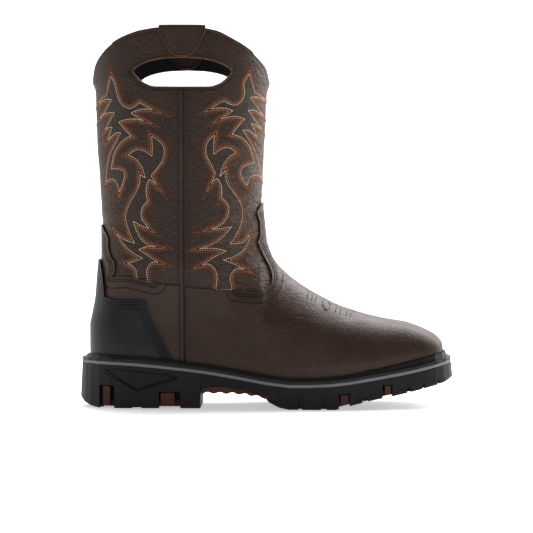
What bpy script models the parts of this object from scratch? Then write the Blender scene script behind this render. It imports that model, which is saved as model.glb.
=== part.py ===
# Western work boot for the right foot.
# The toe points to +X, the inner side of the foot to +Y and up is +Z; the sole stands on Z = 0.
# Sizes are metres. Each table holds shares of the sizes that its comment names.

import math

import bmesh
import bpy
import numpy as np

# Last and shaft
UPPER_LENGTH = 0.2869  # from the back of the heel to the toe tip
BALL_WIDTH = 0.101
SHAFT_WIDTH = 0.094
COLLAR_HEIGHT = 0.2661  # low points of the collar, at front and back
COLLAR_RISE = 0.0395  # how far the scallops rise over them at the sides
ANKLE_LOW, ANKLE_HIGH = 0.058, 0.124  # the foot's widths fade into the shaft's between these heights
SHAFT_START = 0.150  # above it the shaft's rings lie level
SHAFT_FADE = 0.035  # over this height the foot's rounding turns into the shaft's
CROWN_START = 0.74  # share of COLLAR_HEIGHT where the scallops begin to lift the rings
BACK_SQUARE = 2.15  # power of the rounding at the back line
HEEL_ROUND = 0.036  # how deep the back of the heel is rounded, in plan
FEATHER_TUCK = 0.0016  # how far the upper draws in where it meets the welt
FEATHER_HEIGHT = 0.012

# Thicknesses
GAP = 0.0003  # clearance between pieces that meet
WALL = 0.0022
OVERLAY = 0.0013
GUARD = 0.0018
SEAM = 0.0010
TAB = 0.0019
INSOLE = 0.0032
INSOLE_CLEARANCE = 0.0013
WELT = 0.0022
MIDSOLE = 0.0024

# Sole
HEEL_SEAT = 0.0382  # top of the midsole at the heel
WELT_PROUD = 0.0102  # the sole's edge beyond the upper, at the back of the heel
TOE_PROUD = 0.0083
SOLE_FLARE = 0.0012  # the sole's wall leans out this far towards the ground
TREAD_CHAMFER = 0.0009
BEAD_WIDTH = 0.0026
BEAD_RISE = 0.0023
BEAD_TOE_RISE = 0.0027  # what the bead gains on the way to the toe
BEAD_CLEARANCE = 0.0009  # from the upper's bulge to the bead
BEAD_TOP = 0.6  # where the bead's outer slope ends, as a share of its width
GUARD_END, GUARD_FADE = 0.225, 0.06  # the bead moves in behind the heel guard: shares of UPPER_LENGTH
TOE_RISE_START = 0.70  # share of UPPER_LENGTH
FEATHER_GAP = 0.0006  # between welt and upper
WELT_FLANGE = 0.0065  # the welt's reach under the upper
FACET_DEPTH = 0.0010

# Two-colour tread
CORE_INSET = 0.0105  # from the sole's edge to the coloured core
CORE_DEPTH = 0.0055
CORE_RECESS = 0.0008
LUG_INSET = 0.0016
LUG_CLEARANCE = 0.0008
LUG_ROOT = 0.0040  # a lug's overlap with the core that it grows from
ARCH_INSET = 0.0012
ARCH_CUT = 0.0120  # the arch's pocket runs this far past the sole's edge
RIB_PITCH = 0.0100
RIB_DEPTH = 0.0016
RIB_FADE = 0.05  # share of UPPER_LENGTH over which the ribs run out

# Pull holes, seams and tabs
SEAM_ALONG = 0.2600  # share of the upper's length where the side seam stands
SEAM_WIDTH = 0.0046
HOLE_LENGTH = 0.0800
HOLE_HEIGHT = 0.0240
HOLE_BOTTOM = 0.2588
TAB_WIDTH = 0.0385
TAB_DROP = 0.0222  # from the collar's top edge to the tab's lower end
TAB_MARGIN = 0.0020  # what is trimmed off below
SEAM_DROP = 0.0025  # from the hole down to the seam's upper end

# Mesh
ROUND_STEPS = 17  # per side of the upper
RISE_STEPS = 25
SOLE_STEPS = 26
OUTSOLE_STEPS = 32
INSOLE_STEPS = 20
TAB_COLUMNS, TAB_TURNS, TAB_DROPS = 7, 6, 4
RIB_POINTS = 4  # places along each rib of the arch

# Cutters
CUT_MARGIN = 0.0040  # how far a cutter reaches past the face that it opens
CUT_BEHIND, CUT_AHEAD, CUT_BELOW = -0.2, 1.2, -0.1  # shares well past heel, toe and floor


def table(names, *rows):
    return dict(zip(names.split(), np.array(rows, float).T))


# The last from above. along: share of UPPER_LENGTH from the heel; outer, inner: of half the BALL_WIDTH.
PLAN = table(
    "along outer inner",
    (0.00, 0.624, 0.624),
    (0.10, 0.630, 0.624),
    (0.22, 0.644, 0.604),
    (0.33, 0.668, 0.578),
    (0.45, 0.800, 0.683),
    (0.55, 0.935, 0.845),
    (0.635, 1.000, 0.965),
    (0.705, 0.985, 1.000),
    (0.81, 0.890, 0.960),
    (0.90, 0.772, 0.865),
    (0.967, 0.693, 0.790),
    (1.00, 0.644, 0.750),
)

# How the upper rounds over towards its top line. depth: of BALL_WIDTH; square: power of the rounding.
ROUNDING = table(
    "along depth square",
    (0.43, 0.710, 2.10),
    (0.55, 0.610, 2.10),
    (0.64, 0.515, 2.15),
    (0.74, 0.430, 2.20),
    (0.83, 0.350, 2.30),
    (0.90, 0.300, 2.45),
    (0.95, 0.265, 2.60),
    (1.00, 0.245, 2.80),
)

# Half width of the shaft. up: share of COLLAR_HEIGHT; width: of half the SHAFT_WIDTH.
SHAFT = table(
    "up width",
    (0.20, 0.800),
    (0.41, 0.835),
    (0.53, 0.850),
    (0.64, 0.880),
    (0.75, 0.925),
    (0.88, 0.970),
    (1.00, 1.000),
    (1.16, 1.015),
)

# Front line of the upper, toe to collar. up: share of COLLAR_HEIGHT; along: of UPPER_LENGTH.
FRONT = table(
    "up along",
    (0.130, 0.998),
    (0.165, 1.000),
    (0.192, 0.997),
    (0.212, 0.984),
    (0.233, 0.9505),
    (0.254, 0.8965),
    (0.2660, 0.830),
    (0.296, 0.730),
    (0.320, 0.676),
    (0.3475, 0.6285),
    (0.385, 0.5755),
    (0.4165, 0.5415),
    (0.446, 0.519),
    (0.4785, 0.5025),
    (0.515, 0.493),
    (0.579, 0.4865),
    (0.6145, 0.484),
    (0.670, 0.485),
    (0.7745, 0.489),
    (0.838, 0.492),
    (0.913, 0.495),
    (0.962, 0.4975),
    (1.000, 0.5065),
)
FRONT_WAIST = 0.6145  # height of the front line's rearmost point, as in the table

# Back line of the upper, in the same shares.
BACK = table(
    "up along",
    (0.130, 0.0015),
    (0.190, 0.0000),
    (0.245, 0.0000),
    (0.289, 0.0070),
    (0.338, 0.0150),
    (0.387, 0.0185),
    (0.4325, 0.0220),
    (0.4700, 0.0250),
    (0.5500, 0.0245),
    (0.6125, 0.0205),
    (0.6610, 0.0175),
    (0.7250, 0.0145),
    (0.8000, 0.0085),
    (0.9130, 0.0050),
    (0.9730, 0.0030),
    (1.0000, -0.0055),
)

# Scallop of the collar. share: from back to front of the collar; rise: of COLLAR_RISE.
COLLAR = table(
    "share rise",
    (0.00, 0.00),
    (0.02, 0.31),
    (0.06, 0.53),
    (0.12, 0.72),
    (0.20, 0.86),
    (0.30, 0.96),
    (0.40, 1.00),
    (0.60, 1.00),
    (0.70, 0.95),
    (0.80, 0.79),
    (0.88, 0.63),
    (0.94, 0.44),
    (0.98, 0.27),
    (1.00, 0.00),
)

# Top of the midsole, heel to toe. up: share of HEEL_SEAT.
SEAT_LINE = table(
    "along up",
    (-0.045, 1.004),
    (0.100, 0.965),
    (0.210, 0.890),
    (0.325, 0.787),
    (0.450, 0.634),
    (0.503, 0.565),
    (0.566, 0.516),
    (0.675, 0.539),
    (0.775, 0.642),
    (0.900, 0.801),
    (1.035, 1.035),
)

# Underside of the black sole: rolled heel, breast, arch, ball and toe spring. up: share of HEEL_SEAT.
BREAST = 0.3106
BREAST_SLOPE = 0.0007  # half of the share over which the heel's front face rises
ARCH_START = 0.0030  # share from the heel's front face to the insert
TREAD_LINE = table(
    "along up",
    (-0.045, 0.250),
    (-0.026, 0.110),
    (0.010, 0.000),
    (BREAST - BREAST_SLOPE, 0.000),
    (BREAST + BREAST_SLOPE, 0.437),
    (0.343, 0.474),
    (0.375, 0.474),
    (0.405, 0.437),
    (0.451, 0.372),
    (0.4875, 0.300),
    (0.4900, 0.249),
    (0.505, 0.139),
    (0.532, 0.039),
    (0.558, 0.000),
    (0.688, 0.000),
    (0.740, 0.100),
    (0.786, 0.183),
    (0.855, 0.277),
    (0.932, 0.406),
    (0.977, 0.492),
    (1.000, 0.539),
    (1.035, 0.660),
)

# Where the coloured cores of the tread start and end along the sole.
CORE_RANGES = {"heel_lugs": (0.020, 0.2806), "forefoot_lugs": (0.566, 0.955)}

# Coloured arch insert: its top and its ribbed underside. Shares of HEEL_SEAT.
ARCH = table(
    "along top foot",
    (BREAST + ARCH_START, 0.430, 0.300),
    (0.343, 0.464, 0.306),
    (0.375, 0.464, 0.304),
    (0.405, 0.427, 0.300),
    (0.443, 0.375, 0.280),
    (0.478, 0.310, 0.238),
    (0.508, 0.268, 0.180),
    (0.524, 0.240, 0.160),
    (0.538, 0.206, 0.196),
)

# How far the sole stands out from the upper. proud: share of WELT_PROUD at the heel and waist.
PROUD = table(
    "along proud",
    (0.00, 1.00),
    (0.05, 0.86),
    (0.15, 0.72),
    (0.30, 0.68),
    (0.60, 0.66),
    (0.85, 0.70),
    (0.95, 0.76),
    (1.00, TOE_PROUD / WELT_PROUD),
)

# Notches through the sole's side, both sides. start, end: along; top: share of HEEL_SEAT;
# lug_start, lug_end: the coloured lug inside, where there is one.
NOTCHES = table(
    "start end top lug_start lug_end",
    (0.0240, 0.0670, 0.480, 0.0340, 0.0540),
    (0.1930, 0.2540, 0.345, 0.1985, 0.2370),
    (0.6980, 0.7290, 0.330, 0.7035, 0.7255),
    (0.8210, 0.8490, 0.505, 0.8280, 0.8450),
)
NOTCH_DEPTH = 0.0120

# Small gaps between the tread's edge lugs. height: share of HEEL_SEAT above the tread line.
SLOTS = table(
    "start end height",
    (0.1175, 0.1450, 0.060),
    (0.5850, 0.5960, 0.060),
    (0.6480, 0.6640, 0.060),
    (0.7640, 0.7800, 0.085),
    (0.8910, 0.9010, 0.105),
    (0.9350, 0.9410, 0.095),
    (0.9800, 0.9845, 0.090),
)
SLOT_DEPTH = 0.0100

# Facet pressed into each side of the heel: three corners. up: share of HEEL_SEAT.
FACET = table(
    "along up",
    (0.037, 0.820),
    (0.247, 0.655),
    (0.130, 0.365),
)

# Outlines of the overlays from the side. along: share of UPPER_LENGTH; up: of COLLAR_HEIGHT.
VAMP_EDGE = table(
    "along up",
    (0.4880, 0.636),
    (0.4700, 0.598),
    (0.4790, 0.562),
    (0.4800, 0.534),
    (0.4730, 0.5055),
    (0.4920, 0.459),
    (0.5070, 0.428),
    (0.5135, 0.400),
    (0.5110, 0.3795),
    (0.4960, 0.361),
    (0.4680, 0.3515),
    (0.4140, 0.356),
)
VAMP_END_UP = 0.366
COUNTER_EDGE = table(
    "along up",
    (0.0223, 0.562),
    (0.0330, 0.539),
    (0.0440, 0.5145),
    (0.0445, 0.4885),
    (0.0520, 0.4625),
    (0.0645, 0.4385),
    (0.0645, 0.4195),
    (0.0575, 0.396),
    (0.0920, 0.399),
    (0.1345, 0.3915),
    (0.1820, 0.379),
)
COUNTER_END_UP = 0.371
GUARD_EDGE = table(
    "along up",
    (0.0170, 0.4545),
    (0.0260, 0.413),
    (0.0310, 0.376),
    (0.0345, 0.3370),
    (0.0700, 0.3285),
    (0.1370, 0.3285),
    (0.1560, 0.3210),
    (0.1635, 0.287),
    (0.1960, 0.2205),
    (0.2360, 0.134),
)

# Pull hole from the side. half: share of half the HOLE_LENGTH; up: of HOLE_HEIGHT.
HOLE_EDGE = table(
    "half up",
    (0.00, 0.000),
    (0.55, 0.015),
    (0.74, 0.115),
    (0.87, 0.270),
    (1.00, 0.560),
    (0.92, 0.700),
    (0.66, 0.880),
    (0.36, 0.970),
    (0.00, 1.000),
)

# Pull tab from the side. half: share of half the TAB_WIDTH; down: of TAB_DROP.
TAB_EDGE = table(
    "half down",
    (0.98, -0.30),
    (0.97, 0.05),
    (0.86, 0.30),
    (0.62, 0.68),
    (0.42, 0.90),
    (0.22, 1.00),
)

HEEL_REACH = WELT_PROUD + SOLE_FLARE
TOE_REACH = TOE_PROUD + SOLE_FLARE
HEEL_X = (HEEL_REACH - TOE_REACH - UPPER_LENGTH) / 2
TOE_X = HEEL_X + UPPER_LENGTH
HOLE_X = HEEL_X + SEAM_ALONG * UPPER_LENGTH
FAR = 10 * COLLAR_HEIGHT  # well past every surface of the boot


def mix(a, b, share):
    return a + (b - a) * share


def smooth(share):
    share = np.clip(share, 0, 1)
    return share * share * (3 - 2 * share)


# Monotone cubic through a table's rows: smooth, and never outside two neighbouring rows.
def curve(known, values, wanted):
    step = np.diff(known)
    slope = np.diff(values) / step
    both = slope[1:] * slope[:-1]
    total = slope[1:] + slope[:-1]
    middle = np.where(both > 0, 2 * both / np.where(both > 0, total, 1), 0)
    tangent = np.concatenate([slope[:1], middle, slope[-1:]])
    wanted = np.clip(wanted, known[0], known[-1])
    i = np.clip(np.searchsorted(known, wanted) - 1, 0, len(step) - 1)
    t = (wanted - known[i]) / step[i]
    start = values[i] * (1 + 2 * t) * (1 - t) ** 2 + tangent[i] * step[i] * t * (1 - t) ** 2
    end = values[i + 1] * (3 - 2 * t) * t**2 + tangent[i + 1] * step[i] * (t - 1) * t**2
    return start + end


def along_of(x):
    return (x - HEEL_X) / UPPER_LENGTH


def x_of(along):
    return HEEL_X + along * UPPER_LENGTH


def front_x(z):
    return x_of(curve(FRONT["up"], FRONT["along"], z / COLLAR_HEIGHT))


def back_x(z):
    return x_of(curve(BACK["up"], BACK["along"], z / COLLAR_HEIGHT))


def seat_z(x):
    return HEEL_SEAT * curve(SEAT_LINE["along"], SEAT_LINE["up"], along_of(x))


def tread_z(x):
    return HEEL_SEAT * np.interp(along_of(x), TREAD_LINE["along"], TREAD_LINE["up"])


# Height of the upper's lower edge, which stands on the welt.
def feather_z(x):
    return seat_z(x) + GAP + WELT + FEATHER_GAP


# Height of the front line over a point of the foot; behind the front line's waist there is none.
LINE_Z = np.linspace(FRONT["up"][0], FRONT_WAIST, 400) * COLLAR_HEIGHT


def top_z(x):
    line_x = front_x(LINE_Z)
    return np.interp(x, line_x[::-1], LINE_Z[::-1], left=FAR)


def rounded(share, power):
    return (1 - (1 - np.clip(share, 0, 1)) ** power) ** (1 / power)


# Half width of the upper at (x, z): the last's width below and the shaft's above, drawn in to
# nothing at the front and back lines by two roundings.
def half_width(x, z, side):
    along = along_of(x)
    foot = curve(PLAN["along"], PLAN[side], along) * BALL_WIDTH / 2
    foot = foot - FEATHER_TUCK * (1 - smooth((z - feather_z(x)) / FEATHER_HEIGHT))
    shaft = curve(SHAFT["up"], SHAFT["width"], z / COLLAR_HEIGHT) * SHAFT_WIDTH / 2
    full = mix(foot, shaft, smooth((z - ANKLE_LOW) / (ANKLE_HIGH - ANKLE_LOW)))
    half_depth = (front_x(z) - back_x(z)) / 2
    before = np.maximum(front_x(z) - x, 0)
    above = np.where(z > FRONT_WAIST * COLLAR_HEIGHT, FAR, np.maximum(top_z(x) - z, 0))
    near = before * above / np.maximum(np.hypot(before, above), 1e-9)
    raised = smooth((z - SHAFT_START + SHAFT_FADE) / SHAFT_FADE)
    depth = mix(curve(ROUNDING["along"], ROUNDING["depth"], along) * BALL_WIDTH, half_depth, raised)
    front = rounded(near / depth, curve(ROUNDING["along"], ROUNDING["square"], along))
    back_depth = mix(HEEL_ROUND, half_depth, smooth((z - ANKLE_LOW) / (SHAFT_START - ANKLE_LOW)))
    back = rounded((x - back_x(z)) / back_depth, BACK_SQUARE)
    return full * front * back


# Rings round the upper from the feather line to the collar, as an array (ring, point, xyz). The ends
# of each ring lie on the back and front lines, and the first half runs along the outer side.
def upper_rings(rise_steps, round_steps):
    toe_z = feather_z(np.array([TOE_X]))[0]
    line_z = np.linspace(toe_z, COLLAR_HEIGHT, 2000)
    line_x = front_x(line_z)
    length = np.concatenate([[0], np.cumsum(np.hypot(np.diff(line_x), np.diff(line_z)))])
    wanted = np.linspace(0, length[-1], rise_steps + 1)
    front_z = np.interp(wanted, length, line_z)
    heel_z = feather_z(np.array([HEEL_X]))[0]
    to_shaft = np.interp(SHAFT_START, line_z, length)
    back_z = np.where(wanted < to_shaft, mix(heel_z, SHAFT_START, wanted / to_shaft), front_z)
    share = (1 - np.cos(np.linspace(0, math.pi, round_steps + 1))) / 2
    line = mix(back_z[:, None], front_z[:, None], share)
    base_x = mix(back_x(back_z[:1]), front_x(front_z[:1]), share)
    sag = feather_z(base_x) - line[0]
    level = (1 - smooth(wanted / to_shaft))[:, None]
    crown = COLLAR_RISE * curve(COLLAR["share"], COLLAR["rise"], share)
    lifted = smooth((line / COLLAR_HEIGHT - CROWN_START) / (1 - CROWN_START))
    z = line + sag * level + crown * lifted
    x = mix(back_x(back_z)[:, None], front_x(front_z)[:, None], share)
    outer = -half_width(x, z, "outer")
    inner = half_width(x, z, "inner")
    outer[:, [0, -1]] = 0
    first = np.stack([x, outer, z], axis=-1)
    second = np.stack([x, inner, z], axis=-1)[:, -2:0:-1]
    return np.concatenate([first, second], axis=1)


# Unit normals of the rings, pointing out. At the two rims they lie level, so that a wall ends square.
def ring_normals(rings):
    around = np.roll(rings, -1, axis=1) - np.roll(rings, 1, axis=1)
    up = np.gradient(rings, axis=0)
    normal = np.cross(around, up)
    normal[[0, -1], :, 2] = 0
    return normal / np.linalg.norm(normal, axis=2, keepdims=True)


def new_mesh(name, verts, faces):
    mesh = bpy.data.meshes.new(name)
    mesh.from_pydata([tuple(v) for v in verts], [], [tuple(f) for f in faces])
    mesh.validate()
    work = bmesh.new()
    work.from_mesh(mesh)
    bmesh.ops.recalc_face_normals(work, faces=work.faces)
    if work.calc_volume(signed=True) < 0:
        bmesh.ops.reverse_faces(work, faces=work.faces)
    work.to_mesh(mesh)
    work.free()
    thing = bpy.data.objects.new(name, mesh)
    bpy.context.scene.collection.objects.link(thing)
    return thing


# Quads between neighbouring rings whose points are numbered row by row.
def ring_faces(rows, count, closed_rows=False):
    faces = []
    for row in range(rows if closed_rows else rows - 1):
        a, b = row * count, (row + 1) % rows * count
        for i in range(count):
            j = (i + 1) % count
            faces.append((a + i, a + j, b + j, b + i))
    return faces


# Closed shell between two offsets of the upper's surface, over its whole height. Every shell is split
# into triangles along the same diagonals, so that shells at neighbouring offsets stay parallel.
def shell(name, outer, inner):
    rings = upper_rings(RISE_STEPS, ROUND_STEPS)
    normals = ring_normals(rings)
    skins = np.concatenate([rings + normals * outer, rings + normals * inner])
    rows, count = rings.shape[:2]
    skin = [
        half
        for a, b, c, d in ring_faces(rows, count)
        for half in ((a, b, c), (a, c, d))
    ]
    inside = [tuple(k + rows * count for k in half[::-1]) for half in skin]
    rims = []
    for start, turn in ((0, -1), ((rows - 1) * count, 1)):
        for i in range(count):
            a, b = start + i, start + (i + 1) % count
            rims.append((a, b, b + rows * count, a + rows * count)[::turn])
    return new_mesh(name, skins.reshape(-1, 3), skin + inside + rims)


# Solid cut through the boot from one side to the other, with its outline given in x and z.
def prism(name, outline, y_from=-FAR, y_to=FAR):
    count = len(outline)
    verts = [(x, y, z) for y in (y_from, y_to) for x, z in outline]
    sides = [(i, (i + 1) % count, count + (i + 1) % count, count + i) for i in range(count)]
    caps = [tuple(range(count)), tuple(range(2 * count - 1, count - 1, -1))]
    return new_mesh(name, verts, sides + caps)


def drop(thing):
    bpy.data.objects.remove(thing, do_unlink=True)


# Applies one Boolean and deletes the tool.
def combine(thing, tool, operation):
    modifier = thing.modifiers.new(operation.title(), "BOOLEAN")
    modifier.object = tool
    modifier.operation = operation
    modifier.solver = "EXACT"
    graph = bpy.context.evaluated_depsgraph_get()
    mesh = bpy.data.meshes.new_from_object(thing.evaluated_get(graph))
    thing.modifiers.clear()
    thing.data = mesh
    mesh.name = thing.name
    drop(tool)
    return thing


def side_outline(edge, closing):
    points = [(x_of(a), u * COLLAR_HEIGHT) for a, u in zip(edge["along"], edge["up"])]
    return points + [(x_of(a), u * COLLAR_HEIGHT) for a, u in closing]


# Outline of the upper in plan at the given x, and the directions in which the sole stands out from
# it: square to the outline round heel and toe, and straight sideways between them, so that a step
# across the sole stays at its place. The outer side runs from heel to toe, then the inner side back.
def plan_ring(xs):
    z = feather_z(xs)
    outer = np.stack([xs, -half_width(xs, z, "outer")], axis=1)
    inner = np.stack([xs, half_width(xs, z, "inner")], axis=1)
    ring = np.concatenate([outer, inner[::-1]])
    tangent = np.roll(ring, -1, axis=0) - np.roll(ring, 1, axis=0)
    normal = np.stack([tangent[:, 1], -tangent[:, 0]], axis=1)
    normal = normal / np.linalg.norm(normal, axis=1, keepdims=True)
    along = along_of(ring[:, :1])
    sideways = smooth((along - 0.03) / 0.12) * smooth((0.99 - along) / 0.12)
    normal = mix(normal, np.sign(normal[:, 1:]) * [0, 1], sideways)
    return ring, normal / np.linalg.norm(normal, axis=1, keepdims=True)


def proud(along):
    return WELT_PROUD * np.interp(along, PROUD["along"], PROUD["proud"])


# Places along the sole: close together at heel and toe, with extra ones where a table has a step.
def sole_stations(extra=(), first=0.0, last=1.0, steps=SOLE_STEPS):
    share = (1 - np.cos(np.linspace(0.02, math.pi - 0.02, steps + 1))) / 2
    keep = [a for a in share if first < a < last]
    ends = [a for a in (first, last) if 0 < a < 1]
    return x_of(np.unique(np.round(keep + ends + [a for a in extra if first < a < last], 6)))


# One ring of points at an offset from the upper's outline; height is a function of x.
def level_ring(xs, offset, height):
    ring, normal = plan_ring(xs)
    shift = offset(along_of(ring[:, 0])) if callable(offset) else offset
    flat = ring + normal * np.reshape(shift, (-1, 1))
    return np.column_stack([flat, height(flat[:, 0])])


# Closed plate: rings from the bottom up, with strips of faces across the bottom and the top.
def stack(name, xs, levels):
    rings = [level_ring(xs, offset, height) for offset, height in levels]
    count = len(rings[0])
    faces = ring_faces(len(rings), count)
    for start, turn in ((0, 1), ((len(rings) - 1) * count, -1)):
        for i in range(len(xs) - 1):
            strip = (i, i + 1, count - 2 - i, count - 1 - i)
            faces.append(tuple(start + k for k in strip[::turn]))
    return new_mesh(name, np.concatenate(rings), faces)


# Closed hoop: a profile of (offset, height) corners carried round the upper's outline.
def hoop(name, xs, profile):
    rings = [level_ring(xs, offset, height) for offset, height in profile]
    return new_mesh(name, np.concatenate(rings), ring_faces(len(rings), len(rings[0]), closed_rows=True))


def edge_y(x, side):
    xs = np.array([x])
    return half_width(xs, feather_z(xs), side)[0] + proud(along_of(x))


def block(name, x_from, x_to, y_from, y_to, z_from, z_to):
    return prism(name, [(x_from, z_from), (x_to, z_from), (x_to, z_to), (x_from, z_to)], y_from, y_to)


def both_sides():
    return (("outer", -1), ("inner", 1))


def make_upper():
    upper = shell("upper", 0, -WALL)
    half = [(h, u) for h, u in zip(HOLE_EDGE["half"], HOLE_EDGE["up"])]
    shape = half + [(-h, u) for h, u in half[-2:0:-1]]
    outline = [(HOLE_X + h * HOLE_LENGTH / 2, HOLE_BOTTOM + u * HOLE_HEIGHT) for h, u in shape]
    return combine(upper, prism("hole", outline), "DIFFERENCE")


def make_vamp():
    vamp = shell("vamp", GAP + OVERLAY, GAP)
    start = along_of(HOLE_X + SEAM_WIDTH / 2 + GAP)
    tip = VAMP_EDGE["up"][0]
    closing = [(start, VAMP_END_UP), (start, CUT_BELOW), (CUT_AHEAD, CUT_BELOW), (CUT_AHEAD, tip)]
    return combine(vamp, prism("cut", side_outline(VAMP_EDGE, closing)), "INTERSECT")


def make_counter():
    counter = shell("counter", GAP + OVERLAY, GAP)
    end = along_of(HOLE_X - SEAM_WIDTH / 2 - GAP)
    peak = COUNTER_EDGE["up"][0]
    closing = [(end, COUNTER_END_UP), (end, CUT_BELOW), (CUT_BEHIND, CUT_BELOW), (CUT_BEHIND, peak)]
    return combine(counter, prism("cut", side_outline(COUNTER_EDGE, closing)), "INTERSECT")


def guard_bottom():
    return GAP + OVERLAY + GAP


def make_guard():
    guard = shell("heel_guard", guard_bottom() + GUARD, guard_bottom())
    end, peak = GUARD_EDGE["along"][-1], GUARD_EDGE["up"][0]
    closing = [(end, CUT_BELOW), (CUT_BEHIND, CUT_BELOW), (CUT_BEHIND, peak)]
    return combine(guard, prism("cut", side_outline(GUARD_EDGE, closing)), "INTERSECT")


def make_side_seam(name, sign):
    seam = shell(name, GAP + SEAM, GAP)
    x_from, x_to = HOLE_X - SEAM_WIDTH / 2, HOLE_X + SEAM_WIDTH / 2
    y_from, y_to = sorted((0, sign * FAR))
    return combine(seam, block("cut", x_from, x_to, y_from, y_to, 0, HOLE_BOTTOM - SEAM_DROP), "INTERSECT")


# Point on the side of the shaft at an offset from the upper's surface.
def side_point(x, z, side, sign, offset):
    step = GAP / 3
    y = half_width(x, z, side)
    slope_x = (half_width(x + step, z, side) - half_width(x - step, z, side)) / (2 * step)
    slope_z = (half_width(x, z + step, side) - half_width(x, z - step, side)) / (2 * step)
    size = np.sqrt(1 + slope_x**2 + slope_z**2)
    moved = np.stack([x - slope_x * offset / size, y + offset / size, z - slope_z * offset / size], axis=-1)
    return moved * [1, sign, 1]


# A strap folded over the collar: an arch-shaped section carried along x, trimmed to the tab's outline.
def make_tab(name, side, sign):
    columns = np.linspace(HOLE_X - TAB_WIDTH / 2, HOLE_X + TAB_WIDTH / 2, TAB_COLUMNS)
    collar_z = COLLAR_HEIGHT + COLLAR_RISE
    middle, reach = -WALL / 2, WALL / 2 + GAP
    turn = np.linspace(0, math.pi, TAB_TURNS)
    drops = np.linspace(TAB_DROP + TAB_MARGIN, 0, TAB_DROPS)[:-1]
    section = []
    for radius, order in ((reach + TAB, 1), (reach, -1)):
        leaf = [(middle + radius, -d) for d in drops]
        bend = [(middle + radius * math.cos(a), GAP + radius * math.sin(a)) for a in turn]
        other = [(middle - radius, -d) for d in drops[::-1]]
        section += (leaf + bend + other)[::order]
    rings = []
    for x in columns:
        offsets, rises = np.array(section).T
        z = collar_z + rises
        rings.append(side_point(np.full(len(z), x), z, side, sign, offsets))
    count = len(section)
    faces = ring_faces(len(rings), count)
    half = count // 2
    for start in (0, (len(rings) - 1) * count):
        for i in range(half - 1):
            faces.append(tuple(start + k for k in (i, i + 1, count - 2 - i, count - 1 - i)))
    tab = new_mesh(name, np.concatenate(rings), faces)
    right = [
        (HOLE_X + h * TAB_WIDTH / 2, collar_z - d * TAB_DROP)
        for h, d in zip(TAB_EDGE["half"], TAB_EDGE["down"])
    ]
    left = [(2 * HOLE_X - x, z) for x, z in right[::-1]]
    return combine(tab, prism("cut", right + left), "INTERSECT")


def make_welt():
    xs = sole_stations()

    def bead(along):
        reach = mix(guard_bottom() + GUARD, GAP + OVERLAY, smooth((along - GUARD_END) / GUARD_FADE))
        return reach + BEAD_CLEARANCE

    def rise(x):
        return BEAD_RISE + BEAD_TOE_RISE * smooth((along_of(x) - TOE_RISE_START) / (1 - TOE_RISE_START))

    def foot(x):
        return seat_z(x) + GAP

    def top(x):
        return foot(x) + WELT

    def bead_top(x):
        return top(x) + rise(x)

    profile = (
        (-WELT_FLANGE, foot),
        (proud, foot),
        (proud, top),
        (lambda a: bead(a) + BEAD_WIDTH, top),
        (lambda a: bead(a) + BEAD_TOP * BEAD_WIDTH, bead_top),
        (bead, bead_top),
        (bead, top),
        (-WELT_FLANGE, top),
    )
    return hoop("welt", xs, profile)


def make_midsole():
    levels = ((proud, lambda x: seat_z(x) - MIDSOLE), (proud, seat_z))
    return stack("midsole", sole_stations(), levels)


def make_insole():
    offset = -WALL - INSOLE_CLEARANCE
    levels = ((offset, feather_z), (offset, lambda x: feather_z(x) + INSOLE))
    return stack("insole", sole_stations(steps=INSOLE_STEPS), levels)


def core_offset(along):
    return proud(along) - CORE_INSET


# Core plate of the tread with its side lugs. grow widens it all round, as the pocket's cutter.
def core(name, first, last, grow=0.0):
    breaks = [a for a in TREAD_LINE["along"] if first < a < last]
    margin = grow / UPPER_LENGTH
    xs = sole_stations(breaks, first - margin, last + margin)

    def foot(x):
        return tread_z(x) + (CORE_RECESS if grow == 0 else -CUT_MARGIN)

    def top(x):
        return tread_z(x) + CORE_RECESS + CORE_DEPTH + grow

    offset = (lambda along: core_offset(along) + grow)
    plate = stack(name, xs, ((offset, foot), (offset, top)))
    for start, end, high in zip(NOTCHES["lug_start"], NOTCHES["lug_end"], NOTCHES["top"]):
        if not first < start < last:
            continue
        middle = x_of((start + end) / 2)
        ends = tread_z(np.array([x_of(start), x_of(end)]))
        if grow == 0:
            z_from = ends.max() + CORE_RECESS + LUG_CLEARANCE
        else:
            z_from = ends.min() - CUT_MARGIN - LUG_CLEARANCE
        z_to = high * HEEL_SEAT - LUG_CLEARANCE + grow
        for side, sign in both_sides():
            edge = edge_y(middle, side)
            reach = edge - LUG_INSET + grow
            y_from, y_to = sorted((sign * reach, sign * (edge - CORE_INSET - LUG_ROOT)))
            lug = block("lug", x_of(start) - grow, x_of(end) + grow, y_from, y_to, z_from, z_to)
            combine(plate, lug, "UNION")
    return plate


def arch_insert(name, grow=0.0):
    first, last = ARCH["along"][0], ARCH["along"][-1]
    ribs = int((last - first) * UPPER_LENGTH / RIB_PITCH * RIB_POINTS)
    extra = list(np.linspace(first, last, ribs)) + list(ARCH["along"])
    xs = sole_stations(extra, first, last)

    def foot(x):
        level = HEEL_SEAT * np.interp(along_of(x), ARCH["along"], ARCH["foot"])
        fade = smooth((ARCH["along"][-2] - along_of(x)) / RIB_FADE)
        wave = 0.5 - 0.5 * np.cos(2 * math.pi * (x - x_of(first)) / RIB_PITCH)
        return level + RIB_DEPTH * fade * wave - grow

    def top(x):
        return HEEL_SEAT * np.interp(along_of(x), ARCH["along"], ARCH["top"]) - GAP + grow

    reach = ARCH_CUT if grow else -ARCH_INSET
    offset = (lambda along: proud(along) + reach)
    return stack(name, xs, ((offset, foot), (offset, top)))


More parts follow.
